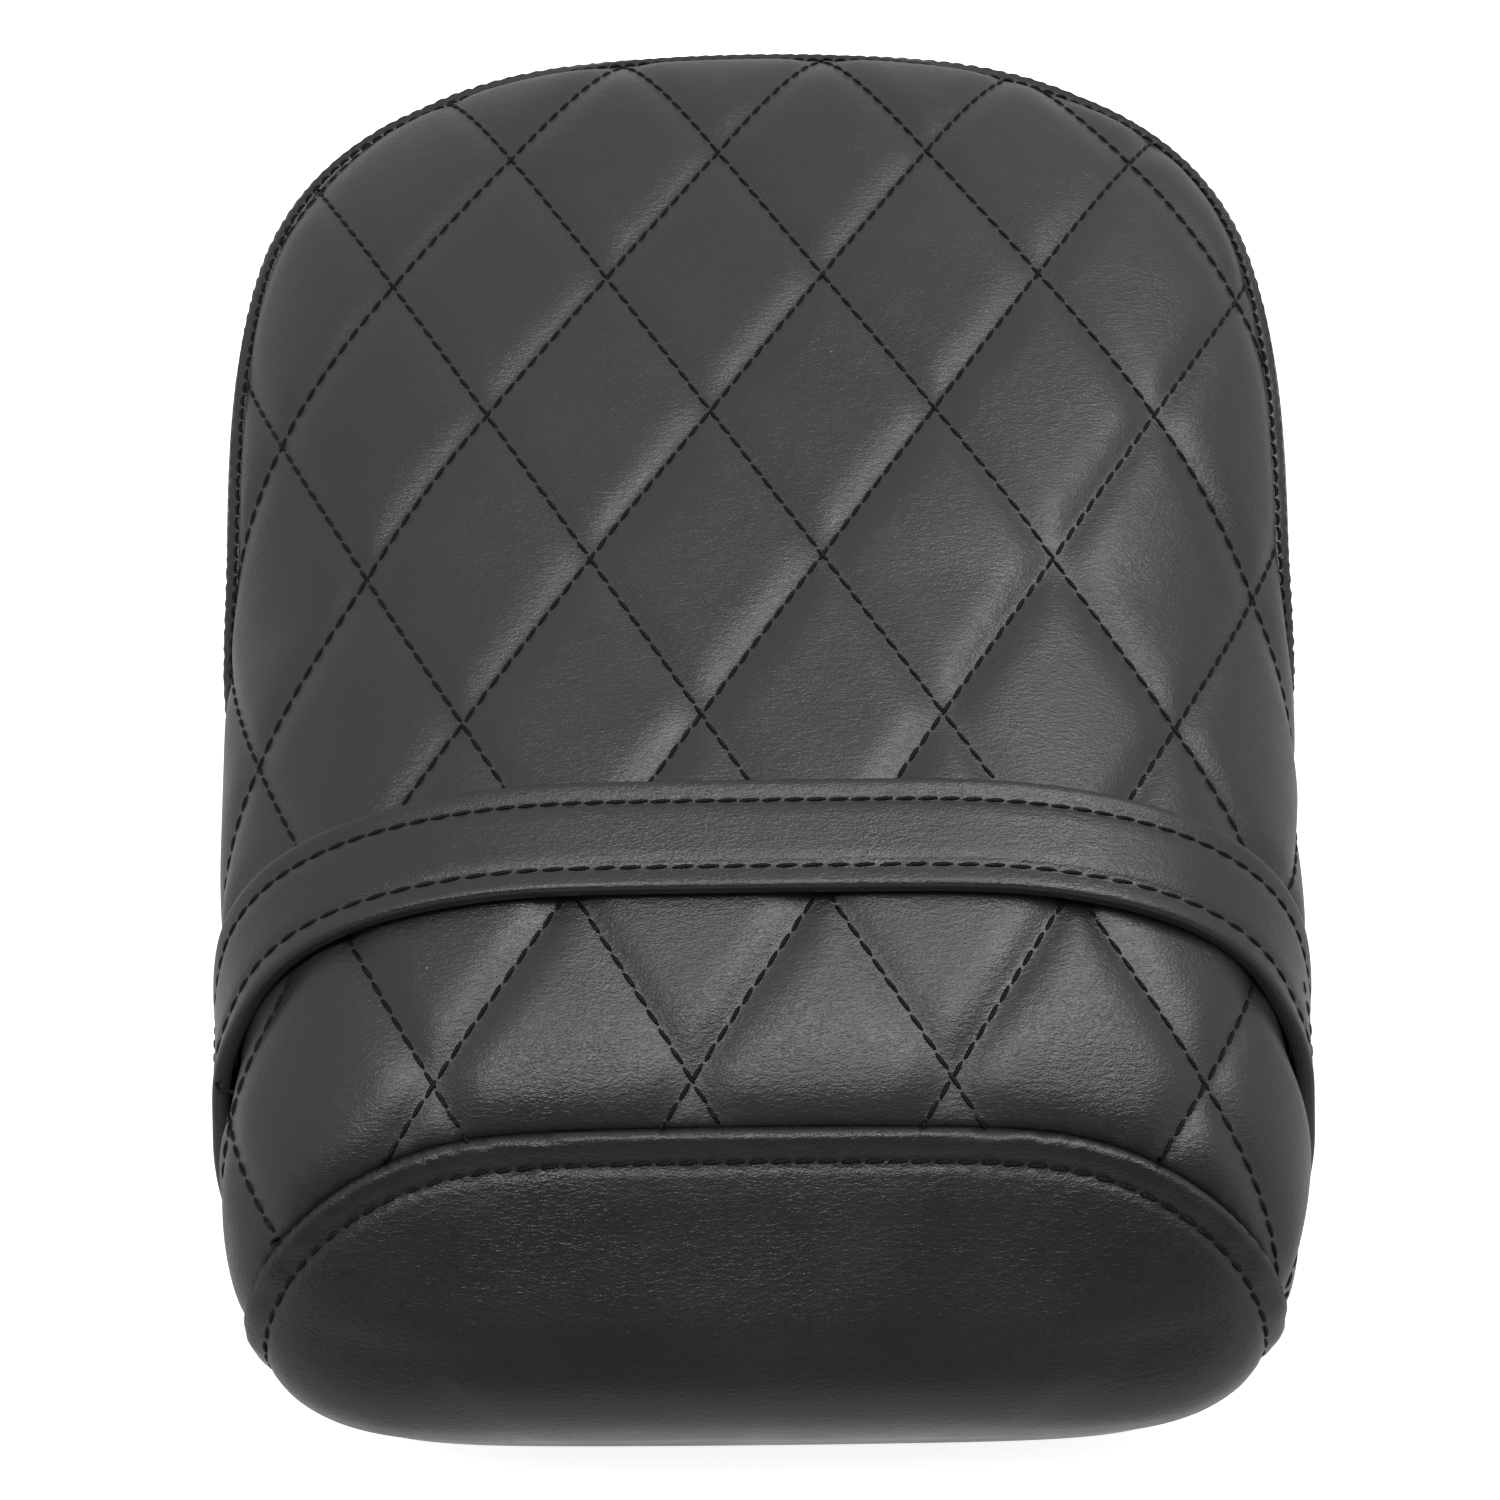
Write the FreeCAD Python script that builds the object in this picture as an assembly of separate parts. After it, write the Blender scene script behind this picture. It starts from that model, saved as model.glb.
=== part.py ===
"""Motorcycle passenger seat (pillion pad) with a grab strap, as an assembly of separate pieces.

Millimetres. +X is the rider's right, +Y points to the motorcycle's rear, +Z is up. The origin is
the centre of the seat's footprint on the plane that its four rubber bumpers rest on.
The cushion is worked out about its own centre, where its plan outline is joined from a squarer
front half and a rounder rear half, and everything is moved by SEAT_SHIFT_Y as it is written.
"""
import FreeCAD
import Part

import math
import os

Vector = FreeCAD.Vector

# Cushion: plan outline
HALF_WIDTH = 109.7
FRONT_REACH = 148.8
REAR_REACH = 154.4
FRONT_SQUARENESS = 7.4
REAR_SQUARENESS = 3.5
TAPER_PER_MM = 0.00078

# Cushion: heights and the roundness of its edges
RIM_Z = 14.0
RIM_SHARE = 0.887
BULGE_Z = 51.5
CROWN_Z = 98.1
CROWN_RISE_PER_MM = 0.0256
FRONT_ROUNDNESS = 3.03
SIDE_ROUNDNESS = 2.79
REAR_ROUNDNESS = 6.27
ROUNDNESS_SPREAD = 1.41

# Cover, wadding and foam
COVER_THICKNESS = 1.2
LAYER_GAP = 0.25
WADDING_THICKNESS = 5.0
HEM_WIDTH = 14.0
TRIM_WIDTH = 2.6
TRIM_HEIGHT = 1.2
TRIM_GAP = 0.1

# Seams, seen from the side
FRONT_SEAM_Y = -89.7
FRONT_SEAM_Z = 50.9
FRONT_SEAM_RADIUS = 42.0
FRONT_SEAM_TOP_Y = -106.0
FRONT_SEAM_FOOT_Y = -127.0
FRONT_SEAM_ABOVE = (-98.0, 112.0)
BOXING_SEAM = [(190, 94), (130, 89.8), (80, 85.2), (44, 79.7), (12, 70.2), (-8, 55), (-20, 35), (-26, 5)]

# Base pan
PAN_WALL = 3.0
PAN_BOTTOM_Z = RIM_Z + COVER_THICKNESS
PAN_LIP_Z = 26.0
FLANGE_WIDTH = 24.0
FLOOR_UNDER_Z = 22.0
FLOOR_TOP_Z = FLOOR_UNDER_Z + PAN_WALL
RIB_THICKNESS = 2.0
RIB_BOTTOM_Z = 16.0
RIB_CROSS_Y = (-18.0, 10.0, 38.0)
RIB_LONG_X = (-24.0, 0.0, 24.0)
VENT_RADIUS = 3.0
VENT_PLACES = ((-36.0, -4.0), (36.0, -4.0), (-36.0, 24.0), (36.0, 24.0))

# Steel brackets under the pan
PLATE_THICKNESS = 3.0
BRACKET_LOW_Z = 5.0
BRACKET_CORNER = 4.0
REAR_TAB_ROUNDING = 0.8
TONGUE_WIDTH = 58.0
TONGUE_TIP_WIDTH = 40.0
TONGUE_BACK_Y = -32.0
TONGUE_STEP_Y = -86.0
TONGUE_STEP_RUN = 11.0
TONGUE_TIP_Y = -127.0
REAR_WIDTH = 66.0
REAR_TAB_WIDTH = 30.0
REAR_FRONT_Y = 44.0
REAR_STEP_Y = 92.0
REAR_TIP_Y = 176.0
REAR_HOLE_Y = 163.5
REAR_HOLE_RADIUS = 3.3

# Bracket screws, washers and the inserts that they thread into
SCREW_PLACES = [(x, y) for y in (-74.0, -44.0, 56.0, 82.0) for x in (-21.0, 21.0)]
SCREW_RADIUS = 2.95
SCREW_HEAD_RADIUS = 6.0
SCREW_HEAD_HEIGHT = 3.4
SCREW_SOCKET_SHARE = 0.38
SCREW_SOCKET_DEPTH = 2.0
SCREW_HEAD_ROUNDING = 0.6
SCREW_LENGTH = 12.0
WASHER_RADIUS = 7.5
WASHER_THICKNESS = 1.2
CLEARANCE_HOLE_RADIUS = 3.3
INSERT_RADIUS = 4.6
INSERT_BORE_RADIUS = 3.0
INSERT_LENGTH = 11.0
BOSS_RADIUS = 8.0
BOSS_CAP = 2.0

# Rubber bumpers
BUMPER_X = 49.0
BUMPER_FRONT_Y = -74.0
BUMPER_REAR_Y = 74.0
BUMPER_RADIUS = 11.0
BUMPER_FOOT_RADIUS = 8.6
BUMPER_EDGE = 1.6
BUMPER_NECK_RADIUS = 3.9
BUMPER_HOLE_RADIUS = 4.0
BUMPER_HEAD_RADIUS = 6.0
BUMPER_HEAD_HEIGHT = 4.0

# Staples in the hem
STAPLE_COUNT = 44
STAPLE_INSET = 8.0
STAPLE_WIDTH = 10.0
STAPLE_WIRE = 0.7
STAPLE_LEG = 4.0

# Grab strap
STRAP_WIDTH = 21.5
STRAP_THICKNESS = 3.5
STRAP_GAP = 1.0
STRAP_SLACK = 1.1
STRAP_Y = -55.2
STRAP_LEAN = 0.76
STRAP_END_ANGLE = 87.0
STRAP_STATIONS = 33
STRAP_LOWER_STATIONS = 9
STRAP_CORNER_STATIONS = 4
STRAP_BODY_BREAK = 0.4
STRAP_CORNER_INSET = 0.6
STRAP_TUCK = 26.0
WEBBING_WIDTH = 15.0
WEBBING_THICKNESS = 1.2
STRAP_PLATE_LENGTH = 20.0
STRAP_PLATE_WIDTH = 26.0
STRAP_PLATE_THICKNESS = 2.0
STRAP_SCREW_INSET = 14.0
STRAP_SCREW_SPREAD = 6.5
STRAP_SCREW_RADIUS = 1.95
STRAP_SCREW_HEAD_RADIUS = 4.0
STRAP_SCREW_HEAD_HEIGHT = 2.4
STRAP_SCREW_LENGTH = 14.0
STRAP_SCREW_HOLE_RADIUS = 2.2
STRAP_INSERT_RADIUS = 3.1
STRAP_INSERT_BORE_RADIUS = 2.0
STRAP_INSERT_LENGTH = 7.0
STRAP_BOSS_RADIUS = 5.2

# Rings of points that the cushion's smooth surface passes through
RING_POINTS = 48
LOWER_RINGS = 5
UPPER_LEVELS = (0.16, 0.33, 0.48, 0.61, 0.72, 0.81, 0.88, 0.93, 0.965, 0.985, 0.996, 0.9995)

# The footprint runs from the cushion's front bulge to the rear bracket's tip
SEAT_SHIFT_Y = (FRONT_REACH - REAR_TIP_Y) / 2

# Larger than the seat, for cutting shapes
FAR = 400.0

# Numerical work: steps and halvings along the surface, and when two places count as the same
SLOPE_STEP = 0.05
HALVINGS = 60
SAME_PLACE = 0.1
JUST_ABOVE = 0.01
SMALL_TURN = 0.01


# ---------------------------------------------------------------- the cushion's surface

def outline_radius(angle, inset):
    """Distance from the centre to the widest outline, moved in by inset, before the taper."""
    rear = math.sin(angle) >= 0
    reach = (REAR_REACH if rear else FRONT_REACH) - inset
    power = REAR_SQUARENESS if rear else FRONT_SQUARENESS
    across = abs(math.cos(angle) / (HALF_WIDTH - inset)) ** power
    along = abs(math.sin(angle) / reach) ** power
    return (across + along) ** (-1 / power)


def edge_roundness(angle):
    """Power of the upper edge's section, blended from the side's to the front's or the rear's."""
    share = abs(math.sin(angle)) ** ROUNDNESS_SPREAD
    end = REAR_ROUNDNESS if math.sin(angle) >= 0 else FRONT_ROUNDNESS
    return SIDE_ROUNDNESS * (1 - share) + end * share


def crown_z(y):
    """Height of the top along the centre, rising gently to the rear."""
    return CROWN_Z + CROWN_RISE_PER_MM * y


def lower_share(z):
    """How far out the side is below the bulge, as a share of the widest outline."""
    rise = (z - RIM_Z) / (BULGE_Z - RIM_Z)
    return 1 - (1 - RIM_SHARE) * (1 - rise) ** 2


def plan_point(angle, share, inset):
    """x and y of the outline at an angle, drawn in to a share of its radius."""
    radius = outline_radius(angle, inset) * share
    y = radius * math.sin(angle)
    x = radius * math.cos(angle) * (1 + TAPER_PER_MM * y)
    return x, y


def ring_angles():
    return [2 * math.pi * i / RING_POINTS for i in range(RING_POINTS)]


def level_ring(z, inset):
    """Points of a flat ring below the bulge."""
    share = lower_share(z)
    places = [plan_point(angle, share, inset) for angle in ring_angles()]
    return [Vector(x, y, z) for x, y in places]


def crown_ring(level, inset):
    """Points of a ring above the bulge, at a share of the height to the crown, tilted with it."""
    points = []
    for angle in ring_angles():
        power = edge_roundness(angle)
        share = (1 - level ** power) ** (1 / power)
        x, y = plan_point(angle, share, inset)
        top = crown_z(y) - inset
        points.append(Vector(x, y, BULGE_Z + (top - BULGE_Z) * level))
    return points


def cushion_body(inset, bottom_z):
    """The cushion's shape moved in by inset: one smooth surface round it and two flat ends."""
    step = (BULGE_Z - bottom_z) / LOWER_RINGS
    rings = [level_ring(bottom_z + step * i, inset) for i in range(LOWER_RINGS + 1)]
    rings += [crown_ring(level, inset) for level in UPPER_LEVELS]
    surface = Part.BSplineSurface()
    surface.interpolate([ring + ring[:1] for ring in rings])
    side = surface.toShape()
    caps = [Part.Face(Part.Wire(edge)) for edge in side.Edges if edge.isClosed()]
    shell = Part.Shell([side] + caps)
    shell.sewShape()
    body = Part.Solid(shell)
    if body.Volume < 0:
        body.reverse()
    return body


def rim_prism(inset, low_z, high_z):
    """A flat-ended slab with the rim's outline, moved in by inset."""
    places = [plan_point(angle, RIM_SHARE, 0) for angle in ring_angles()]
    scale_x = 1 - inset / (HALF_WIDTH * RIM_SHARE)
    scale_y = 1 - 2 * inset / ((FRONT_REACH + REAR_REACH) * RIM_SHARE)
    curve = Part.BSplineCurve()
    points = [Vector(x * scale_x, y * scale_y, low_z) for x, y in places]
    curve.interpolate(Points=points, PeriodicFlag=True)
    return Part.Face(Part.Wire(curve.toShape())).extrude(Vector(0, 0, high_z - low_z))


def surface_level(point):
    """Zero on the cushion's surface, negative inside it and positive outside."""
    plan_x = point.x / (1 + TAPER_PER_MM * point.y)
    angle = math.atan2(point.y, plan_x)
    share = math.hypot(plan_x, point.y) / outline_radius(angle, 0)
    if point.z < BULGE_Z:
        return share - lower_share(max(point.z, RIM_Z))
    power = edge_roundness(angle)
    height = (point.z - BULGE_Z) / (crown_z(point.y) - BULGE_Z)
    return share ** power + height ** power - 1


def surface_normal(point):
    slopes = []
    for axis in (Vector(SLOPE_STEP, 0, 0), Vector(0, SLOPE_STEP, 0), Vector(0, 0, SLOPE_STEP)):
        slopes.append(surface_level(point + axis) - surface_level(point - axis))
    normal = Vector(*slopes)
    return normal.normalize()


def surface_hit(start, direction):
    """Where a ray from a point inside the cushion meets its surface."""
    near = 0.0
    far = HALF_WIDTH + REAR_REACH
    for _ in range(HALVINGS):
        middle = (near + far) / 2
        if surface_level(start + direction * middle) < 0:
            near = middle
        else:
            far = middle
    return start + direction * near


# ---------------------------------------------------------------- small solids

def cylinder(x, y, low_z, high_z, radius):
    return Part.makeCylinder(radius, high_z - low_z, Vector(x, y, low_z))


def tube(x, y, low_z, high_z, outer, inner):
    return cylinder(x, y, low_z, high_z, outer).cut(cylinder(x, y, low_z, high_z, inner))


def block(low, high):
    size = [b - a for a, b in zip(low, high)]
    return Part.makeBox(size[0], size[1], size[2], Vector(*low))


def prism_x(points, arc_middle=None):
    """The region inside a side-view outline of (y, z) corners, as wide as the seat and more."""
    corners = [Vector(-FAR / 2, y, z) for y, z in points]
    edges = [Part.makeLine(a, b) for a, b in zip(corners, corners[1:] + corners[:1])]
    if arc_middle:
        middle = Vector(-FAR / 2, *arc_middle)
        edges[1] = Part.Arc(corners[1], middle, corners[2]).toShape()
    return Part.Face(Part.Wire(edges)).extrude(Vector(FAR, 0, 0))


def joined(shapes):
    return shapes[0].multiFuse(shapes[1:]).removeSplitter()


def group(shapes):
    return Part.makeCompound(shapes)


# ---------------------------------------------------------------- cover, wadding and foam

def front_region():
    """What lies in front of the front seam: an arc in side view, then down to the rim."""
    rise = math.sqrt(FRONT_SEAM_RADIUS ** 2 - (FRONT_SEAM_TOP_Y - FRONT_SEAM_Y) ** 2)
    top = (FRONT_SEAM_TOP_Y, FRONT_SEAM_Z + rise)
    low = (FRONT_SEAM_Y - FRONT_SEAM_RADIUS, FRONT_SEAM_Z)
    half_turn = (math.atan2(rise, FRONT_SEAM_TOP_Y - FRONT_SEAM_Y) + math.pi) / 2
    middle = (
        FRONT_SEAM_Y + FRONT_SEAM_RADIUS * math.cos(half_turn),
        FRONT_SEAM_Z + FRONT_SEAM_RADIUS * math.sin(half_turn),
    )
    foot = (FRONT_SEAM_FOOT_Y, 0.0)
    corners = [FRONT_SEAM_ABOVE, top, low, foot, (-FAR / 2, 0.0), (-FAR / 2, FRONT_SEAM_ABOVE[1])]
    return prism_x(corners, middle)


def boxing_region():
    """What lies below and behind the boxing seam, which sweeps down the sides to the rim."""
    points = [Vector(-FAR / 2, y, z) for y, z in BOXING_SEAM]
    curve = Part.BSplineCurve()
    curve.interpolate(Points=points)
    corner = Vector(-FAR / 2, points[0].y, points[-1].z)
    edges = [curve.toShape(), Part.makeLine(points[-1], corner), Part.makeLine(corner, points[0])]
    return Part.Face(Part.Wire(edges)).extrude(Vector(FAR, 0, 0))


def strap_screw_holes():
    holes = [cylinder(x, y, 0, PAN_BOTTOM_Z, STRAP_SCREW_HOLE_RADIUS) for x, y in strap_screw_places()]
    return group(holes)


def cover_panels():
    """The quilted top, the smooth front and the side boxing, with their hems under the rim."""
    shell = cushion_body(0, RIM_Z).cut(cushion_body(COVER_THICKNESS, PAN_BOTTOM_Z))
    shell = shell.cut(rim_prism(HEM_WIDTH, RIM_Z - 1, PAN_BOTTOM_Z + 1))
    shell = shell.cut(strap_screw_holes())
    front = shell.common(front_region())
    boxing = shell.common(boxing_region())
    top = shell.cut(front_region()).cut(boxing_region())
    return {"top_cover": top, "front_panel": front, "side_boxing": boxing}


def wadding_layer(clearance=0.0):
    """The soft layer quilted to the top cover, or with a clearance the space that it needs."""
    outer = COVER_THICKNESS + LAYER_GAP - clearance
    inner = COVER_THICKNESS + LAYER_GAP + WADDING_THICKNESS + clearance
    bottom = PAN_LIP_Z + 2 * LAYER_GAP - clearance
    layer = cushion_body(outer, bottom).cut(cushion_body(inner, bottom - 1))
    return layer.cut(front_region()).cut(boxing_region())


def foam_core():
    """The moulded foam: it fills the pan inside its lip, stands on the lip, and has pockets."""
    inset = COVER_THICKNESS + LAYER_GAP
    upper = cushion_body(inset, PAN_LIP_Z + LAYER_GAP).cut(wadding_layer(LAYER_GAP))
    plug = cushion_body(inset + PAN_WALL + LAYER_GAP, PAN_BOTTOM_Z + PAN_WALL)
    plug_top = PAN_LIP_Z + LAYER_GAP
    plug = plug.cut(block((-FAR / 2, -FAR / 2, plug_top), (FAR / 2, FAR / 2, FAR)))
    foam = joined([upper, plug])
    pockets = [rim_prism(FLANGE_WIDTH - LAYER_GAP, 0, FLOOR_TOP_Z)]
    top = FLOOR_UNDER_Z + INSERT_LENGTH + BOSS_CAP + LAYER_GAP
    pockets += [cylinder(x, y, 0, top, BOSS_RADIUS + LAYER_GAP) for x, y in SCREW_PLACES]
    head_top = FLOOR_TOP_Z + BUMPER_HEAD_HEIGHT + LAYER_GAP
    pockets += [cylinder(x, y, 0, head_top, BUMPER_HEAD_RADIUS + LAYER_GAP) for x, y in bumper_places()]
    strap_top = PAN_BOTTOM_Z + STRAP_INSERT_LENGTH + BOSS_CAP + LAYER_GAP
    boss = STRAP_BOSS_RADIUS + LAYER_GAP
    pockets += [cylinder(x, y, 0, strap_top, boss) for x, y in strap_screw_places()]
    for pocket in pockets:
        foam = foam.cut(pocket)
    return foam


def rim_trim():
    """The braided edging sewn along the cover's lower edge."""
    high = RIM_Z - TRIM_GAP
    low = high - TRIM_HEIGHT
    return rim_prism(TRIM_GAP, low, high).cut(rim_prism(TRIM_WIDTH, low - 1, high + 1))


# ---------------------------------------------------------------- base pan

def base_pan():
    inset = COVER_THICKNESS + LAYER_GAP
    tray = cushion_body(inset, PAN_BOTTOM_Z)
    tray = tray.cut(block((-FAR / 2, -FAR / 2, PAN_LIP_Z), (FAR / 2, FAR / 2, FAR)))
    tray = tray.cut(cushion_body(inset + PAN_WALL, PAN_BOTTOM_Z + PAN_WALL))
    raised = rim_prism(FLANGE_WIDTH, PAN_BOTTOM_Z, FLOOR_TOP_Z)
    bosses = [
        cylinder(x, y, FLOOR_UNDER_Z, FLOOR_UNDER_Z + INSERT_LENGTH + BOSS_CAP, BOSS_RADIUS)
        for x, y in SCREW_PLACES
    ]
    strap_boss_top = PAN_BOTTOM_Z + STRAP_INSERT_LENGTH + BOSS_CAP
    bosses += [
        cylinder(x, y, PAN_BOTTOM_Z, strap_boss_top, STRAP_BOSS_RADIUS) for x, y in strap_screw_places()
    ]
    pan = joined([tray, raised] + bosses)
    recess = rim_prism(FLANGE_WIDTH + PAN_WALL, PAN_BOTTOM_Z - 1, FLOOR_UNDER_Z)
    pan = pan.cut(recess)
    pan = joined([pan] + pan_ribs(recess))
    holes = [
        cylinder(x, y, 0, FLOOR_UNDER_Z + INSERT_LENGTH, INSERT_RADIUS) for x, y in SCREW_PLACES
    ]
    holes += [
        cylinder(x, y, 0, PAN_BOTTOM_Z + STRAP_INSERT_LENGTH, STRAP_INSERT_RADIUS)
        for x, y in strap_screw_places()
    ]
    holes += [cylinder(x, y, 0, FLOOR_TOP_Z + 1, BUMPER_HOLE_RADIUS) for x, y in bumper_places()]
    holes += [cylinder(x, y, 0, FLOOR_TOP_Z + 1, VENT_RADIUS) for x, y in VENT_PLACES]
    return pan.cut(group(holes))


def pan_ribs(recess):
    """Stiffening ribs in the middle of the recess, between the two brackets."""
    half = RIB_THICKNESS / 2
    ribs = []
    for y in RIB_CROSS_Y:
        across = block((-FAR / 2, y - half, RIB_BOTTOM_Z), (FAR / 2, y + half, FLOOR_UNDER_Z))
        ribs.append(across.common(recess))
    for x in RIB_LONG_X:
        low = (x - half, RIB_CROSS_Y[0], RIB_BOTTOM_Z)
        high = (x + half, RIB_CROSS_Y[-1], FLOOR_UNDER_Z)
        ribs.append(block(low, high))
    return ribs


# ---------------------------------------------------------------- brackets

def stepped_plate(start_y, step_y, low_y, tip_y, plan_wire):
    """A plate that lies against the pan's floor, steps down and runs out under the rim."""
    high = FLOOR_UNDER_Z
    low = BRACKET_LOW_Z + PLATE_THICKNESS
    thick = PLATE_THICKNESS
    side = [
        (start_y, high),
        (step_y, high),
        (low_y, low),
        (tip_y, low),
        (tip_y, low - thick),
        (low_y, low - thick),
        (step_y, high - thick),
        (start_y, high - thick),
    ]
    # the sloping stretch keeps the sheet's thickness at both bends
    bend = math.atan2(high - low, abs(low_y - step_y)) / 2
    shift = math.copysign(thick * math.tan(bend), start_y - tip_y)
    side[5] = (low_y + shift, low - thick)
    side[6] = (step_y + shift, high - thick)
    plan = Part.Face(plan_wire).extrude(Vector(0, 0, FAR))
    return prism_x(side).common(plan)


def plan_polygon(points):
    corners = [Vector(x, y, -1) for x, y in points]
    return Part.makePolygon(corners + corners[:1])


def upright(edge):
    ends = [vertex.Point for vertex in edge.Vertexes]
    return len(ends) == 2 and math.hypot(ends[0].x - ends[1].x, ends[0].y - ends[1].y) < SAME_PLACE


def rounded_uprights(solid, radius, lines_y):
    """Rounds the sheet's upright corners that lie on the given lines across the seat."""
    edges = []
    for edge in solid.Edges:
        y = edge.Vertexes[0].Point.y
        if upright(edge) and any(abs(y - line) < SAME_PLACE for line in lines_y):
            edges.append(edge)
    return solid.makeFillet(radius, edges)


def front_tongue():
    """Hooks under a bar or into a slot on the motorcycle, and holds the seat's front down."""
    half = TONGUE_WIDTH / 2
    tip = TONGUE_TIP_WIDTH / 2
    low_y = TONGUE_STEP_Y - TONGUE_STEP_RUN
    outline = [
        (-half, TONGUE_BACK_Y),
        (half, TONGUE_BACK_Y),
        (half, low_y),
        (tip, low_y - (half - tip)),
        (tip, TONGUE_TIP_Y),
        (-tip, TONGUE_TIP_Y),
        (-tip, low_y - (half - tip)),
        (-half, low_y),
    ]
    plate = stepped_plate(TONGUE_BACK_Y, TONGUE_STEP_Y, low_y, TONGUE_TIP_Y, plan_polygon(outline))
    plate = rounded_uprights(plate, BRACKET_CORNER, (TONGUE_BACK_Y, TONGUE_TIP_Y))
    return plate.cut(group(bracket_holes()))


def rear_bracket():
    """Carries the bolt hole behind the seat."""
    half = REAR_WIDTH / 2
    tab = REAR_TAB_WIDTH / 2
    low_y = REAR_STEP_Y + TONGUE_STEP_RUN
    outline = [
        (-half, REAR_FRONT_Y),
        (half, REAR_FRONT_Y),
        (half, low_y),
        (tab, low_y + (half - tab)),
        (tab, REAR_TIP_Y),
        (-tab, REAR_TIP_Y),
        (-tab, low_y + (half - tab)),
        (-half, low_y),
    ]
    plate = stepped_plate(REAR_FRONT_Y, REAR_STEP_Y, low_y, REAR_TIP_Y, plan_polygon(outline))
    plate = rounded_uprights(plate, BRACKET_CORNER, (REAR_FRONT_Y,))
    plate = rounded_uprights(plate, tab * REAR_TAB_ROUNDING, (REAR_TIP_Y,))
    bolt_hole = cylinder(0, REAR_HOLE_Y, 0, FLOOR_UNDER_Z, REAR_HOLE_RADIUS)
    return plate.cut(group(bracket_holes() + [bolt_hole]))


def bracket_holes():
    return [cylinder(x, y, 0, FLOOR_UNDER_Z + 1, CLEARANCE_HOLE_RADIUS) for x, y in SCREW_PLACES]


def socket_screw(x, y, face_z, radius, head_radius, head_height, length):
    """A button-head screw that points up, its head under the face at face_z."""
    head_z = face_z - head_height
    shank = cylinder(x, y, face_z, face_z + length, radius)
    head = cylinder(x, y, head_z, face_z, head_radius)
    lower_rim = [edge for edge in head.Edges if abs(edge.BoundBox.ZMax - head_z) < SAME_PLACE]
    head = head.makeFillet(head_height * SCREW_HEAD_ROUNDING, lower_rim[:1])
    socket = cylinder(x, y, head_z - 1, head_z + SCREW_SOCKET_DEPTH, head_radius * SCREW_SOCKET_SHARE)
    return head.fuse(shank).cut(socket).removeSplitter()


def bracket_fasteners():
    under = FLOOR_UNDER_Z - PLATE_THICKNESS
    head_face = under - WASHER_THICKNESS
    screws = []
    washers = []
    inserts = []
    for x, y in SCREW_PLACES:
        length = SCREW_LENGTH + WASHER_THICKNESS
        screws.append(socket_screw(
            x, y, head_face, SCREW_RADIUS, SCREW_HEAD_RADIUS, SCREW_HEAD_HEIGHT, length
        ))
        washers.append(tube(x, y, head_face, under, WASHER_RADIUS, CLEARANCE_HOLE_RADIUS))
        top = FLOOR_UNDER_Z + INSERT_LENGTH
        inserts.append(tube(x, y, FLOOR_UNDER_Z, top, INSERT_RADIUS, INSERT_BORE_RADIUS))
    return {
        "bracket_screws": group(screws),
        "bracket_washers": group(washers),
        "bracket_inserts": group(inserts),
    }


# ---------------------------------------------------------------- bumpers and staples

def bumper_places():
    return [(x, y) for y in (BUMPER_FRONT_Y, BUMPER_REAR_Y) for x in (-BUMPER_X, BUMPER_X)]


def bumper(x, y):
    """A push-in rubber buffer: foot, neck through the pan's floor and a head above it."""
    profile = [
        (0, 0),
        (BUMPER_FOOT_RADIUS, 0),
        (BUMPER_FOOT_RADIUS + BUMPER_EDGE, BUMPER_EDGE),
        (BUMPER_RADIUS, FLOOR_UNDER_Z),
        (BUMPER_NECK_RADIUS, FLOOR_UNDER_Z),
        (BUMPER_NECK_RADIUS, FLOOR_TOP_Z),
        (BUMPER_HEAD_RADIUS, FLOOR_TOP_Z),
        (BUMPER_NECK_RADIUS, FLOOR_TOP_Z + BUMPER_HEAD_HEIGHT),
        (0, FLOOR_TOP_Z + BUMPER_HEAD_HEIGHT),
    ]
    corners = [Vector(x + r, y, z) for r, z in profile]
    face = Part.Face(Part.makePolygon(corners + corners[:1]))
    return face.revolve(Vector(x, y, 0), Vector(0, 0, 1), 360)


def bumpers():
    names = ("bumper_front_left", "bumper_front_right", "bumper_rear_left", "bumper_rear_right")
    return {name: bumper(x, y) for name, (x, y) in zip(names, bumper_places())}


def staples():
    """Staples that hold the hem to the pan, evenly spaced except under the strap's ends."""
    made = []
    anchor_y = strap_anchor().y
    for i in range(STAPLE_COUNT):
        angle = 2 * math.pi * (i + 0.5) / STAPLE_COUNT
        x, y = plan_point(angle, RIM_SHARE, STAPLE_INSET / RIM_SHARE)
        ahead_x, ahead_y = plan_point(angle + SMALL_TURN, RIM_SHARE, STAPLE_INSET / RIM_SHARE)
        if abs(y - anchor_y) < STRAP_PLATE_WIDTH / 2 + STAPLE_WIDTH / 2:
            continue
        turn = math.degrees(math.atan2(ahead_y - y, ahead_x - x))
        half = STAPLE_WIDTH / 2
        wire = STAPLE_WIRE / 2
        crown = block((-half, -wire, -STAPLE_WIRE), (half, wire, 0))
        left = block((-half, -wire, 0), (-half + STAPLE_WIRE, wire, STAPLE_LEG))
        right = block((half - STAPLE_WIRE, -wire, 0), (half, wire, STAPLE_LEG))
        staple = joined([crown, left, right])
        staple.rotate(Vector(0, 0, 0), Vector(0, 0, 1), turn)
        staple.translate(Vector(x, y, RIM_Z))
        made.append(staple)
    return group(made)


# ---------------------------------------------------------------- grab strap

def strap_anchor():
    """The rim's corner that the strap turns under, on the right side."""
    drop = BULGE_Z - RIM_Z
    y = strap_line_y(BULGE_Z) - STRAP_LEAN * drop / 2
    return surface_hit(Vector(0, y, RIM_Z + JUST_ABOVE), Vector(1, 0, 0))


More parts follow.
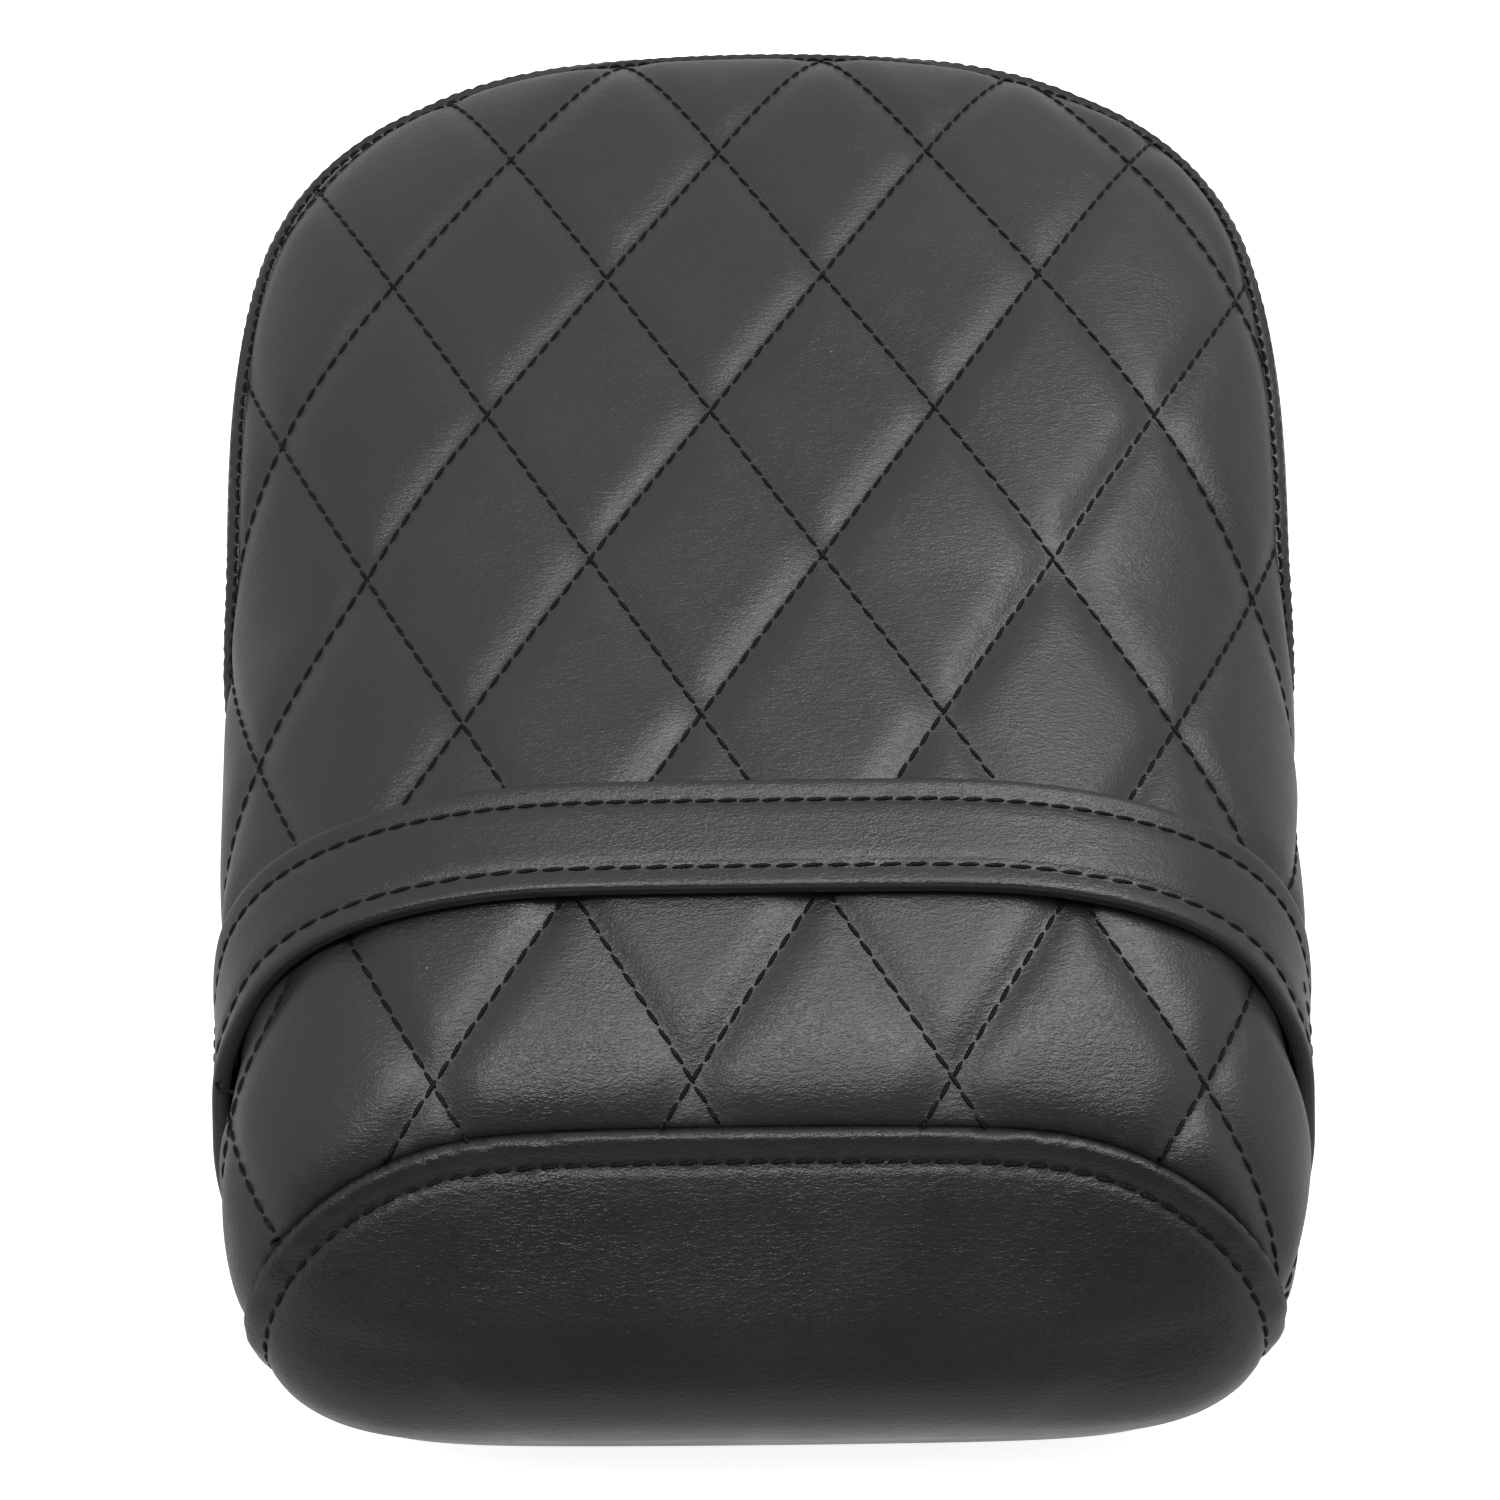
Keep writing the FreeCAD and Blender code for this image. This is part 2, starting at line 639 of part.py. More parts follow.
def strap_line_y(z):
    """The strap leans forward as it comes down the sides."""
    return STRAP_Y - STRAP_LEAN * (crown_z(STRAP_Y) - z)


def strap_upper_stations():
    """Points and outward normals along the strap, over the seat from side to side."""
    base = Vector(0, strap_line_y(BULGE_Z), BULGE_Z)
    up = Vector(0, STRAP_LEAN, 1).normalize()
    stations = []
    for i in range(STRAP_STATIONS):
        turn = math.radians(STRAP_END_ANGLE) * (2 * i / (STRAP_STATIONS - 1) - 1)
        direction = Vector(1, 0, 0) * math.sin(turn) + up * math.cos(turn)
        point = surface_hit(base, direction)
        normal = surface_normal(point)
        stations.append((point + normal * (STRAP_GAP + STRAP_THICKNESS / 2), normal))
    return stations


def strap_lower_stations():
    """The same down the right side from the bulge, round the rim and in under the pan."""
    drop = BULGE_Z - RIM_Z
    stations = []
    for i in range(STRAP_LOWER_STATIONS):
        fall = i / (STRAP_LOWER_STATIONS - 1)
        z = max(BULGE_Z - drop * fall, RIM_Z + JUST_ABOVE)
        y = strap_line_y(BULGE_Z) - STRAP_LEAN * drop * (fall - fall ** 2 / 2)
        point = surface_hit(Vector(0, y, z), Vector(1, 0, 0))
        normal = surface_normal(point)
        normal = Vector(normal.x, 0, normal.z).normalize()
        gap = STRAP_GAP + STRAP_SLACK * fall
        stations.append((point + normal * (gap + STRAP_THICKNESS / 2), normal))
    anchor = strap_anchor()
    centre = anchor - Vector(STRAP_CORNER_INSET, 0, STRAP_CORNER_INSET)
    last_point, last_normal = stations[-1]
    radius = (last_point - centre).dot(last_normal)
    first_turn = math.atan2(last_normal.z, last_normal.x)
    for i in range(STRAP_CORNER_STATIONS):
        turn = first_turn + (-math.pi / 2 - first_turn) * (i + 1) / STRAP_CORNER_STATIONS
        normal = Vector(math.cos(turn), 0, math.sin(turn))
        stations.append((centre + normal * radius, normal))
    inward = Vector(-STRAP_TUCK / 2, 0, 0)
    last_point, last_normal = stations[-1]
    stations.append((last_point + inward, last_normal))
    stations.append((last_point + inward * 2, last_normal))
    return stations


def strap_solid(stations, width, thickness, straight=False):
    """A flat band through the stations, its width square to its path and to the normals."""
    wires = []
    for i, (centre, normal) in enumerate(stations):
        before = stations[max(i - 1, 0)][0]
        after = stations[min(i + 1, len(stations) - 1)][0]
        across = normal.cross(after - before).normalize() * (width / 2)
        up = normal * (thickness / 2)
        corners = [centre - across - up, centre + across - up, centre + across + up, centre - across + up]
        wires.append(Part.makePolygon(corners + corners[:1]))
    return Part.makeLoft(wires, True, straight)


def mirrored(shape):
    return shape.mirror(Vector(0, 0, 0), Vector(1, 0, 0))


def strap_band():
    """The part of the strap that lifts off the seat: a folded leather sleeve and its webbing."""
    stations = strap_upper_stations()
    webbing = strap_solid(stations, WEBBING_WIDTH, WEBBING_THICKNESS)
    sleeve = strap_solid(stations, STRAP_WIDTH, STRAP_THICKNESS).cut(webbing)
    return {"strap_band": sleeve, "strap_webbing": webbing}


def strap_ends():
    """The strap's ends, which stay put under the rim."""
    band_end, band_normal = strap_upper_stations()[-1]
    stations = strap_lower_stations()
    down = (stations[1][0] - band_end).normalize()
    stations[0] = (band_end + down * STRAP_BODY_BREAK, band_normal)
    end = strap_solid(stations, STRAP_WIDTH, STRAP_THICKNESS, True).cut(strap_screw_holes())
    return {"strap_end_right": end, "strap_end_left": mirrored(end)}


def strap_screw_places():
    anchor = strap_anchor()
    x = anchor.x - STRAP_SCREW_INSET
    places = [(x, anchor.y - STRAP_SCREW_SPREAD), (x, anchor.y + STRAP_SCREW_SPREAD)]
    return places + [(-px, py) for px, py in places]


def strap_tuck_z():
    """Underside of the strap where it lies under the pan's flange."""
    return strap_lower_stations()[-1][0].z - STRAP_THICKNESS / 2


def strap_fixings():
    """Clamp plates, screws and inserts at the strap's ends."""
    top = strap_tuck_z()
    bottom = top - STRAP_PLATE_THICKNESS
    anchor = strap_anchor()
    middle_x = anchor.x - STRAP_SCREW_INSET
    low = (middle_x - STRAP_PLATE_LENGTH / 2, anchor.y - STRAP_PLATE_WIDTH / 2, bottom)
    high = (low[0] + STRAP_PLATE_LENGTH, low[1] + STRAP_PLATE_WIDTH, top)
    plate = rounded_uprights(block(low, high), STRAP_PLATE_THICKNESS, (low[1], high[1]))
    plate = plate.cut(strap_screw_holes())
    screws = []
    inserts = []
    for x, y in strap_screw_places():
        screws.append(socket_screw(
            x, y, bottom, STRAP_SCREW_RADIUS, STRAP_SCREW_HEAD_RADIUS, STRAP_SCREW_HEAD_HEIGHT,
            STRAP_SCREW_LENGTH
        ))
        high_z = PAN_BOTTOM_Z + STRAP_INSERT_LENGTH
        inserts.append(tube(x, y, PAN_BOTTOM_Z, high_z, STRAP_INSERT_RADIUS, STRAP_INSERT_BORE_RADIUS))
    return {
        "strap_plate_right": plate,
        "strap_plate_left": mirrored(plate),
        "strap_screws": group(screws),
        "strap_inserts": group(inserts),
    }


# ---------------------------------------------------------------- assembly

def build():
    nodes = {"base_pan": base_pan()}
    nodes.update(cover_panels())
    nodes["quilt_wadding"] = wadding_layer()
    nodes["foam_core"] = foam_core()
    nodes["rim_trim"] = rim_trim()
    nodes["front_tongue"] = front_tongue()
    nodes["rear_bracket"] = rear_bracket()
    nodes.update(bracket_fasteners())
    nodes.update(bumpers())
    nodes["staples"] = staples()
    nodes.update(strap_band())
    nodes.update(strap_ends())
    nodes.update(strap_fixings())
    return nodes


def write(nodes):
    os.makedirs("parts", exist_ok=True)
    for name, shape in nodes.items():
        shape.translate(Vector(0, SEAT_SHIFT_Y, 0))
        shape.exportStep(os.path.join("parts", name + ".step"))
        box = shape.BoundBox
        print(
            f"{name:20s} solids {len(shape.Solids):3d} valid {shape.isValid()} "
            f"volume {shape.Volume / 1000:9.2f} cm3  "
            f"x {box.XMin:7.1f} {box.XMax:7.1f}  y {box.YMin:7.1f} {box.YMax:7.1f}  "
            f"z {box.ZMin:6.1f} {box.ZMax:6.1f}"
        )


write(build())
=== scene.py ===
"""Motorcycle passenger seat: its sewn cover, stitching, grab strap and hardware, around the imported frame.

Shapes are worked out in millimetres about the cushion's centre, as in the CAD source, and moved
into the frame, in metres, as each mesh is made.
"""

import math

import bpy
import numpy as np
from mathutils import Matrix, Vector
from mathutils.bvhtree import BVHTree
from mathutils.kdtree import KDTree


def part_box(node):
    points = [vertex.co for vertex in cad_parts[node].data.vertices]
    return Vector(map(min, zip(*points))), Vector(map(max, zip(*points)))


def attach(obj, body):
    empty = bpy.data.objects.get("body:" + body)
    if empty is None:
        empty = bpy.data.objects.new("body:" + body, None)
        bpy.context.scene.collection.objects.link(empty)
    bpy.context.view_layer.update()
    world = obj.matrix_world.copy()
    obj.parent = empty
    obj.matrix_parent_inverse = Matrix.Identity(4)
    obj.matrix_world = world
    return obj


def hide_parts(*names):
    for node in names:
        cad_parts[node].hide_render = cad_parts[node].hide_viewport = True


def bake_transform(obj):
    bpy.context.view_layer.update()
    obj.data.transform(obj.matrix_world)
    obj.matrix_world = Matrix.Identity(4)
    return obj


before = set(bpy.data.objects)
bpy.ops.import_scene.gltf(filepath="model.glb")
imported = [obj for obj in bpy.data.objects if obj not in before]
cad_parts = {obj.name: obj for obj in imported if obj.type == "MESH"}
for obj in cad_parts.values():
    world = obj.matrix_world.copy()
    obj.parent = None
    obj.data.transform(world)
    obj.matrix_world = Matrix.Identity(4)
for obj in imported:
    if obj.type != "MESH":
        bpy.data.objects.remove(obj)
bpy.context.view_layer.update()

# Cushion surface, as in the CAD source
HALF_WIDTH = 109.7
FRONT_REACH = 148.8
REAR_REACH = 154.4
FRONT_SQUARENESS = 7.4
REAR_SQUARENESS = 3.5
TAPER_PER_MM = 0.00078
RIM_Z = 14.0
RIM_SHARE = 0.887
BULGE_Z = 51.5
BULGE_BLEND = 20.0
CROWN_Z = 98.1
CROWN_RISE_PER_MM = 0.0256
FRONT_ROUNDNESS = 3.03
SIDE_ROUNDNESS = 2.79
REAR_ROUNDNESS = 6.27
ROUNDNESS_SPREAD = 1.41
HEM_WIDTH = 14.0
RELIEF_FADE = 9.0

# Steps of numeric searches and slopes
HALVINGS = 40
RAY_HALVINGS = 36
SLOPE_STEP = 0.05

# Seams in side view, (y, z)
FRONT_SEAM_Y = -89.7
FRONT_SEAM_Z = 50.9
FRONT_SEAM_RADIUS = 42.0
FRONT_SEAM_TOP_Y = -106.0
FRONT_SEAM_TOP_SLOPE = 0.357
FRONT_SEAM_FOOT_Y = -127.0
BOXING_SEAM = ((-26, 5), (-20, 35), (-8, 55), (12, 70.2), (44, 79.7), (80, 85.2), (130, 89.8), (190, 94))
BOXING_FRONT_SLOPE = 5.0
BOXING_TURN_Y = 120.0
SEAM_STEP = 0.5
SIDE_TO_TOP_Z = 75.0
SEAM_TOP_POINTS = 200
FRONT_SEAM_FROM_Y = -135.0
FRONT_SEAM_SPAN = 50.0
BOXING_FROM_Y = 100.0
BOXING_SPAN = 54.0
ABOVE_BULGE = 60.0

# Seam stitching: the topstitch row in front, and the boxing's row of humps
TOPSTITCH_OFFSET = 6.0
TOPSTITCH_PITCH = 4.0
TOPSTITCH_LENGTH = 3.7
BOXING_STITCH_OFFSET = 0.5
BOXING_PITCH = 3.2
BOXING_STITCH_LENGTH = 3.1
THREAD_RADIUS = 0.4
THREAD_SIDES = 6

# Quilting: stitch lines are where u + v or u - v is an odd number
DIAMOND_HALF_WIDTH = 22.5
DIAMOND_HALF_LENGTH = 35.33
QUILT_ACROSS = 12.755
QUILT_ALONG = -99.46
QUILT_SKEW = 0.02204
QUILT_CELLS = 20
WADDING_CELLS = 14
QUILT_REACH_A = 240.0
LATTICE_LOW = -15
LATTICE_HIGH = 17
LATTICE_STEP = 0.012
SHORTEST_RUN = 12
QUILT_FRONT_Y = -145.0
QUILT_REAR_Y = 152.0
QUILT_STITCH_PITCH = 4.0
QUILT_STITCH_LENGTH = 4.15
PUFF_REACH = 8.5
PUFF_POWER = 2.2
STITCH_DEPTH = 1.2
PUFF_RISE = 1.35
SHOULDER_DROP = 2.3
SHOULDER_REACH = 22.0
PANEL_FLATTENING = 6.3
PANEL_ARC = 62.0
FRONT_LIP = 7.8
LOW_FRONT_DRAW = 1.3

# Panels: rings of corners round the cushion, and the cover's thickness along cut edges
RING_COLUMNS = 840
UPPER_ROWS = 56
LOWER_ROWS = 28
HEM_ROWS = (0.4, 1.0, 2.0, 4.0, 7.0, 10.5, 14.0)
INNER_SHARE = 0.66
SEAM_EDGE_DEPTH = 2.4
HEM_EDGE_DEPTH = 1.1

# Filling: wadding clear of the seams, and how far it and the foam lie under the cover
WADDING_FROM_FRONT = 6.0
WADDING_FROM_BOXING = 5.0
WADDING_COVER = 2.2
WADDING_THICKNESS = 2.0
WADDING_PUFF = 1.6
FOAM_COLUMNS = 160
FOAM_ROWS = (20, 10)
FOAM_CROWN_SHARES = (0.75, 0.5, 0.25)
FOAM_COVER = 4.6
FOAM_UNDER_WADDING = 3.4
FOAM_BELOW_PAN_TOP = 12.0
FOAM_CROWN_COVER = 8.0

# Braid along the lower edge
BRAID_PITCH = 7.4
BRAID_STEP = 0.8
BRAID_INSET = 1.1
BRAID_SWING = 0.75
BRAID_RISE = 0.42
BRAID_CORD_RADIUS = 0.5
BRAID_CORD_SIDES = 7
BRAID_LIP_SHARE = 1.15
BRAID_LIP_DROP = 0.05

# Grab strap, as in the CAD source
STRAP_WIDTH = 21.5
STRAP_THICKNESS = 3.5
STRAP_GAP = 1.0
STRAP_SLACK = 1.1
STRAP_Y = -55.2
STRAP_LEAN = 0.76
STRAP_END_ANGLE = 87.0
STRAP_CORNER_INSET = 0.6
STRAP_TUCK = 26.0
STRAP_SINK = 4.2
STRAP_DENT_REACH = 9.0
STRAP_DENT_LESS = 0.7
STRAP_STEP = 1.3
STRAP_ROW = 4.3
STRAP_FRONT_STITCH = (4.6, 4.4)
STRAP_REAR_STITCH = (4.0, 4.1)
WEBBING_HALF_WIDTH = 7.5
WEBBING_HALF_THICKNESS = 0.6
WEBBING_EDGE = 0.25

# Camera, in metres and degrees
CAMERA_LENS = 55.2
CAMERA_TARGET = (-0.00206, -0.0136, 0.0353)
CAMERA_DISTANCE = 0.494
CAMERA_ELEVATION = 58.93
CAMERA_YAW = 1.036
CAMERA_ROLL = -1.652
CAMERA_CLIP_START = 0.01

# Studio, in metres
LIGHT_DISTANCE = 2.4
LIGHT_AIM_Z = 0.05
FLOOR_REACH = 6.0

# The cushion's centre in the frame, from where the front panel starts
SHIFT_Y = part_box("front_panel")[0].y * 1000 + FRONT_REACH


# ---------------------------------------------------------------- the cushion's surface

def smooth_step(x):
    x = np.clip(x, 0, 1)
    return x * x * (3 - 2 * x)


def outline_radius(angle):
    rear = np.sin(angle) >= 0
    reach = np.where(rear, REAR_REACH, FRONT_REACH)
    power = np.where(rear, REAR_SQUARENESS, FRONT_SQUARENESS)
    across = np.abs(np.cos(angle) / HALF_WIDTH) ** power
    along = np.abs(np.sin(angle) / reach) ** power
    return (across + along) ** (-1 / power)


def edge_roundness(angle):
    share = np.abs(np.sin(angle)) ** ROUNDNESS_SPREAD
    end = np.where(np.sin(angle) >= 0, REAR_ROUNDNESS, FRONT_ROUNDNESS)
    return SIDE_ROUNDNESS * (1 - share) + end * share


def crown_z(y):
    return CROWN_Z + CROWN_RISE_PER_MM * y


def lower_share(z):
    rise = (z - RIM_Z) / (BULGE_Z - RIM_Z)
    return 1 - (1 - RIM_SHARE) * (1 - rise) ** 2


def plan_points(angle, share):
    radius = outline_radius(angle) * share
    y = radius * np.sin(angle)
    return radius * np.cos(angle) * (1 + TAPER_PER_MM * y), y


def surface_level(points):
    """Zero on the surface, negative inside it and positive outside."""
    x, y, z = points[..., 0], points[..., 1], points[..., 2]
    plan_x = x / (1 + TAPER_PER_MM * y)
    angle = np.arctan2(y, plan_x)
    share = np.hypot(plan_x, y) / outline_radius(angle)
    power = edge_roundness(angle)
    height = np.clip((z - BULGE_Z) / (crown_z(y) - BULGE_Z), 0, None)
    upper = share ** power + height ** power - 1
    lower = share - lower_share(np.maximum(z, RIM_Z))
    return np.where(z < BULGE_Z, lower, upper)


def surface_normal(points):
    slopes = []
    for axis in np.eye(3) * SLOPE_STEP:
        slopes.append(surface_level(points + axis) - surface_level(points - axis))
    normal = np.stack(slopes, axis=-1)
    return unit(normal)


def unit(vectors):
    return vectors / np.maximum(np.linalg.norm(vectors, axis=-1, keepdims=True), 1e-9)


def surface_hit(start, direction):
    """Where rays from points inside the cushion meet its surface."""
    near = np.zeros(direction.shape[:-1])
    far = np.full(direction.shape[:-1], HALF_WIDTH + REAR_REACH)
    for _ in range(RAY_HALVINGS):
        middle = (near + far) / 2
        inside = surface_level(start + direction * middle[..., None]) < 0
        near = np.where(inside, middle, near)
        far = np.where(inside, far, middle)
    return start + direction * near[..., None]


def folded(points):
    """Turns what would hang below the rim in under it, as the hem."""
    hem = np.maximum(RIM_Z - points[:, 2], 0)
    made = points.copy()
    made[:, 0] *= 1 - hem / (HALF_WIDTH * RIM_SHARE)
    made[:, 1] *= 1 - 2 * hem / ((FRONT_REACH + REAR_REACH) * RIM_SHARE)
    made[:, 2] = np.maximum(points[:, 2], RIM_Z)
    return made


def cover_normals(points):
    """Outward normals of the cover: the cushion's, turning to straight down under the rim."""
    normals = surface_normal(np.column_stack([points[:, :2], np.maximum(points[:, 2], RIM_Z + 0.2)]))
    down = smooth_step((RIM_Z + 0.5 - points[:, 2]) / 1.0)[:, None]
    return unit(normals * (1 - down) + np.array([0, 0, -1]) * down)


# ---------------------------------------------------------------- seams

def front_seam_y(z):
    """The front seam in side view: a line, an arc and a line down to the rim."""
    top_z = FRONT_SEAM_Z + math.sqrt(FRONT_SEAM_RADIUS ** 2 - (FRONT_SEAM_TOP_Y - FRONT_SEAM_Y) ** 2)
    low_y = FRONT_SEAM_Y - FRONT_SEAM_RADIUS
    reach = np.sqrt(np.maximum(FRONT_SEAM_RADIUS ** 2 - (z - FRONT_SEAM_Z) ** 2, 0))
    arc = FRONT_SEAM_Y - reach
    above = FRONT_SEAM_TOP_Y + (z - top_z) * FRONT_SEAM_TOP_SLOPE
    below = low_y + (FRONT_SEAM_FOOT_Y - low_y) * (FRONT_SEAM_Z - z) / FRONT_SEAM_Z
    return np.where(z > top_z, above, np.where(z < FRONT_SEAM_Z, below, arc))


def spline_through(points, step):
    """A smooth curve through the points, evenly sampled: a natural cubic on the chord lengths."""
    points = np.array(points, float)
    knots = np.concatenate([[0], np.cumsum(np.linalg.norm(np.diff(points, axis=0), axis=1))])
    gaps = np.diff(knots)
    count = len(points)
    system = np.eye(count)
    right = np.zeros_like(points)
    for i in range(1, count - 1):
        system[i, i - 1: i + 2] = gaps[i - 1], 2 * (gaps[i - 1] + gaps[i]), gaps[i]
        right[i] = 6 * ((points[i + 1] - points[i]) / gaps[i] - (points[i] - points[i - 1]) / gaps[i - 1])
    bends = np.linalg.solve(system, right)
    places = np.arange(0, knots[-1], step)
    i = np.clip(np.searchsorted(knots, places, side="right") - 1, 0, count - 2)
    ahead = (knots[i + 1] - places)[:, None]
    behind = (places - knots[i])[:, None]
    gap = gaps[i][:, None]
    curve = (bends[i] * ahead ** 3 + bends[i + 1] * behind ** 3) / (6 * gap)
    curve += (points[i] / gap - bends[i] * gap / 6) * ahead
    curve += (points[i + 1] / gap - bends[i + 1] * gap / 6) * behind
    return curve


BOXING_CURVE = spline_through(BOXING_SEAM, 0.25)


def boxing_seam_z(y):
    return np.interp(y, BOXING_CURVE[:, 0], BOXING_CURVE[:, 1], left=-1000.0)


def behind_front_seam(points):
    return points[:, 1] - front_seam_y(points[:, 2])


def under_boxing_seam(points):
    steep = BOXING_CURVE[0, 1] + (points[:, 1] - BOXING_CURVE[0, 0]) * BOXING_FRONT_SLOPE
    seam = np.where(points[:, 1] < BOXING_CURVE[0, 0], steep, boxing_seam_z(points[:, 1]))
    return seam - points[:, 2]


def solved(low, high, value):
    """Where value, an increasing function of an array, passes zero between low and high."""
    for _ in range(HALVINGS):
        middle = (low + high) / 2
        over = value(middle) > 0
        high = np.where(over, middle, high)
        low = np.where(over, low, middle)
    return (low + high) / 2


def side_x(y, z):
    """Half width of the cushion at a height."""
    still = np.zeros_like(y)
    return solved(still, still + 2 * HALF_WIDTH, lambda x: surface_level(np.stack([x, y, z], axis=-1)))


def even(points, step):
    """The same line with evenly spaced points."""
    lengths = np.concatenate([[0], np.cumsum(np.linalg.norm(np.diff(points, axis=0), axis=1))])
    places = np.linspace(0, lengths[-1], max(int(round(lengths[-1] / step)) + 1, 2))
    return np.column_stack([np.interp(places, lengths, points[:, k]) for k in range(3)])


def both_sides(right_half):
    """A line from the right rim to the centre, carried on to the left rim."""
    left_half = (right_half * np.array([-1, 1, 1]))[::-1]
    return np.concatenate([right_half, left_half[1:]])


def front_seam_line():
    z = np.arange(RIM_Z, SIDE_TO_TOP_Z, SEAM_STEP)
    y = front_seam_y(z)
    side = np.column_stack([side_x(y, z), y, z])
    x = np.linspace(side[-1, 0], 0, SEAM_TOP_POINTS)[1:]

    def top_of(y):
        still = np.full_like(y, BULGE_Z)
        return solved(still, still + ABOVE_BULGE, lambda z: surface_level(np.stack([x, y, z], axis=-1)))

    start = np.full_like(x, FRONT_SEAM_FROM_Y)
    y = solved(start, start + FRONT_SEAM_SPAN, lambda y: y - front_seam_y(top_of(y)))
    top = np.column_stack([x, y, top_of(y)])
    return even(both_sides(np.concatenate([side, top])), SEAM_STEP)


def boxing_seam_line():
    curve = BOXING_CURVE[(BOXING_CURVE[:, 1] > RIM_Z) & (BOXING_CURVE[:, 0] < BOXING_TURN_Y)]
    y, z = curve.T
    side = np.column_stack([side_x(y, z), y, z])
    x = np.linspace(side[-1, 0], 0, SEAM_TOP_POINTS)[1:]
    start = np.full_like(x, BOXING_FROM_Y)

    def level(y):
        return surface_level(np.stack([x, y, boxing_seam_z(y)], axis=-1))

    y = solved(start, start + BOXING_SPAN, level)
    rear = np.column_stack([x, y, boxing_seam_z(y)])
    return even(both_sides(np.concatenate([side, rear])), SEAM_STEP)


class Line:
    """A seam on the cushion: finds how far points are from it, and how far along it."""

    def __init__(self, points):
        self.points = points
        self.tree = KDTree(len(points))
        for i, point in enumerate(points):
            self.tree.insert(Vector(point), i)
        self.tree.balance()

    def distance(self, points):
        """Distance to the line and place along it."""
        found = [self.tree.find(Vector(point)) for point in points]
        return np.array([hit[2] for hit in found]), np.array([hit[1] for hit in found]) * SEAM_STEP

    def beside(self, offset):
        """A line on the surface at an offset, positive on the boxing's side of its seam and on the
        quilting's side of the front seam."""
        tangent = unit(np.gradient(self.points, axis=0))
        normal = surface_normal(self.points)
        moved = self.points + np.cross(tangent, normal) * offset
        for _ in range(4):
            normal = surface_normal(moved)
            step = normal * SLOPE_STEP
            slope = (surface_level(moved + step) - surface_level(moved - step)) / (2 * SLOPE_STEP)
            moved = moved - normal * (surface_level(moved) / slope)[:, None]
        return moved


FRONT_SEAM = Line(front_seam_line())
BOXING_LINE = Line(boxing_seam_line())


# ---------------------------------------------------------------- grids and panels

def clipped(params, faces, field):
    """Cuts a grid where field(params) is zero. The nearer corner of each crossed edge moves onto the
    line, and the faces where the field is negative stay. A triangle has its last corner twice."""
    values = field(params)
    pairs = np.concatenate([faces[:, [k, (k + 1) % 4]] for k in range(4)])
    pairs = np.unique(np.sort(pairs, axis=1), axis=0)
    crossing = values[pairs[:, 0]] * values[pairs[:, 1]] < 0
    first, second = pairs[crossing].T
    share = values[first] / (values[first] - values[second])
    targets = params[first] + (params[second] - params[first]) * share[:, None]
    movers = np.where(share < 0.5, first, second)
    order = np.argsort(np.minimum(share, 1 - share), kind="stable")
    movers, picked = np.unique(movers[order], return_index=True)
    params = params.copy()
    params[movers] = targets[order][picked]
    signs = np.sign(values)
    signs[movers] = 0
    low = signs[faces].min(axis=1)
    high = signs[faces].max(axis=1)
    kept = [faces[(high <= 0) & (low < 0)]]
    mixed = faces[(high > 0) & (low < 0)]
    for k in range(4):
        corner = mixed[signs[mixed[:, k]] < 0]
        kept.append(corner[:, [(k - 1) % 4, k, (k + 1) % 4, (k + 1) % 4]])
    return params, np.concatenate(kept)


def compact(params, faces):
    used, faces = np.unique(faces, return_inverse=True)
    return params[used], faces.reshape(-1, 4)


def grid_faces(rows, columns):
    index = np.arange(rows * columns).reshape(rows, columns)
    corners = [index[:-1, :-1], index[:-1, 1:], index[1:, 1:], index[1:, :-1]]
    return np.stack(corners, axis=-1).reshape(-1, 4)


def with_turned_edges(points, normals, faces, depths):
    """Adds a turned-in edge all round a panel, as deep as depths say."""
    pairs = np.concatenate([faces[:, [k, (k + 1) % 4]] for k in range(4)])
    pairs = pairs[pairs[:, 0] != pairs[:, 1]]
    keys = np.sort(pairs, axis=1)
    _, where, counts = np.unique(keys, axis=0, return_inverse=True, return_counts=True)
    border = pairs[counts[where.ravel()] == 1]
    corners, local = np.unique(border, return_inverse=True)
    local = local.reshape(-1, 2) + len(points)
    edge = points[corners] - normals[corners] * depths[corners][:, None]
    lip = np.column_stack([border[:, 1], border[:, 0], local[:, 0], local[:, 1]])
    return np.concatenate([points, edge]), np.concatenate([faces, lip])


def corner_lists(faces):
    return [list(dict.fromkeys(face)) for face in faces.tolist()]


def facing_out(points, normals, faces):
    """Turns the faces round where they look inwards."""
    a, b, c = points[faces[:, 0]], points[faces[:, 1]], points[faces[:, 2]]
    looks = np.einsum("ij,ij->i", np.cross(b - a, c - a), normals[faces[:, 0]])
    if np.median(looks) < 0:
        return faces[:, [0, 3, 2, 1]]
    return faces


def placed(points):
    """From millimetres about the cushion's centre to metres in the frame."""
    return (points + np.array([0, SHIFT_Y, 0])) / 1000


def mesh_piece(name, points, faces, material):
    mesh = bpy.data.meshes.new(name)
    mesh.from_pydata(placed(points).tolist(), [], faces)
    mesh.shade_smooth()
    mesh.materials.append(material)
    piece = bpy.data.objects.new(name, mesh)
    bpy.context.scene.collection.objects.link(piece)
    return piece


def apply_modifiers(piece):
    graph = bpy.context.evaluated_depsgraph_get()
    mesh = bpy.data.meshes.new_from_object(piece.evaluated_get(graph))
    piece.modifiers.clear()
    piece.data = mesh


def finished(piece, body, slot, *nodes):
    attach(piece, body)
    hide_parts(*nodes)
    return piece


# ---------------------------------------------------------------- the strap's path

def strap_line_y(z):
    return STRAP_Y - STRAP_LEAN * (crown_z(STRAP_Y) - z)


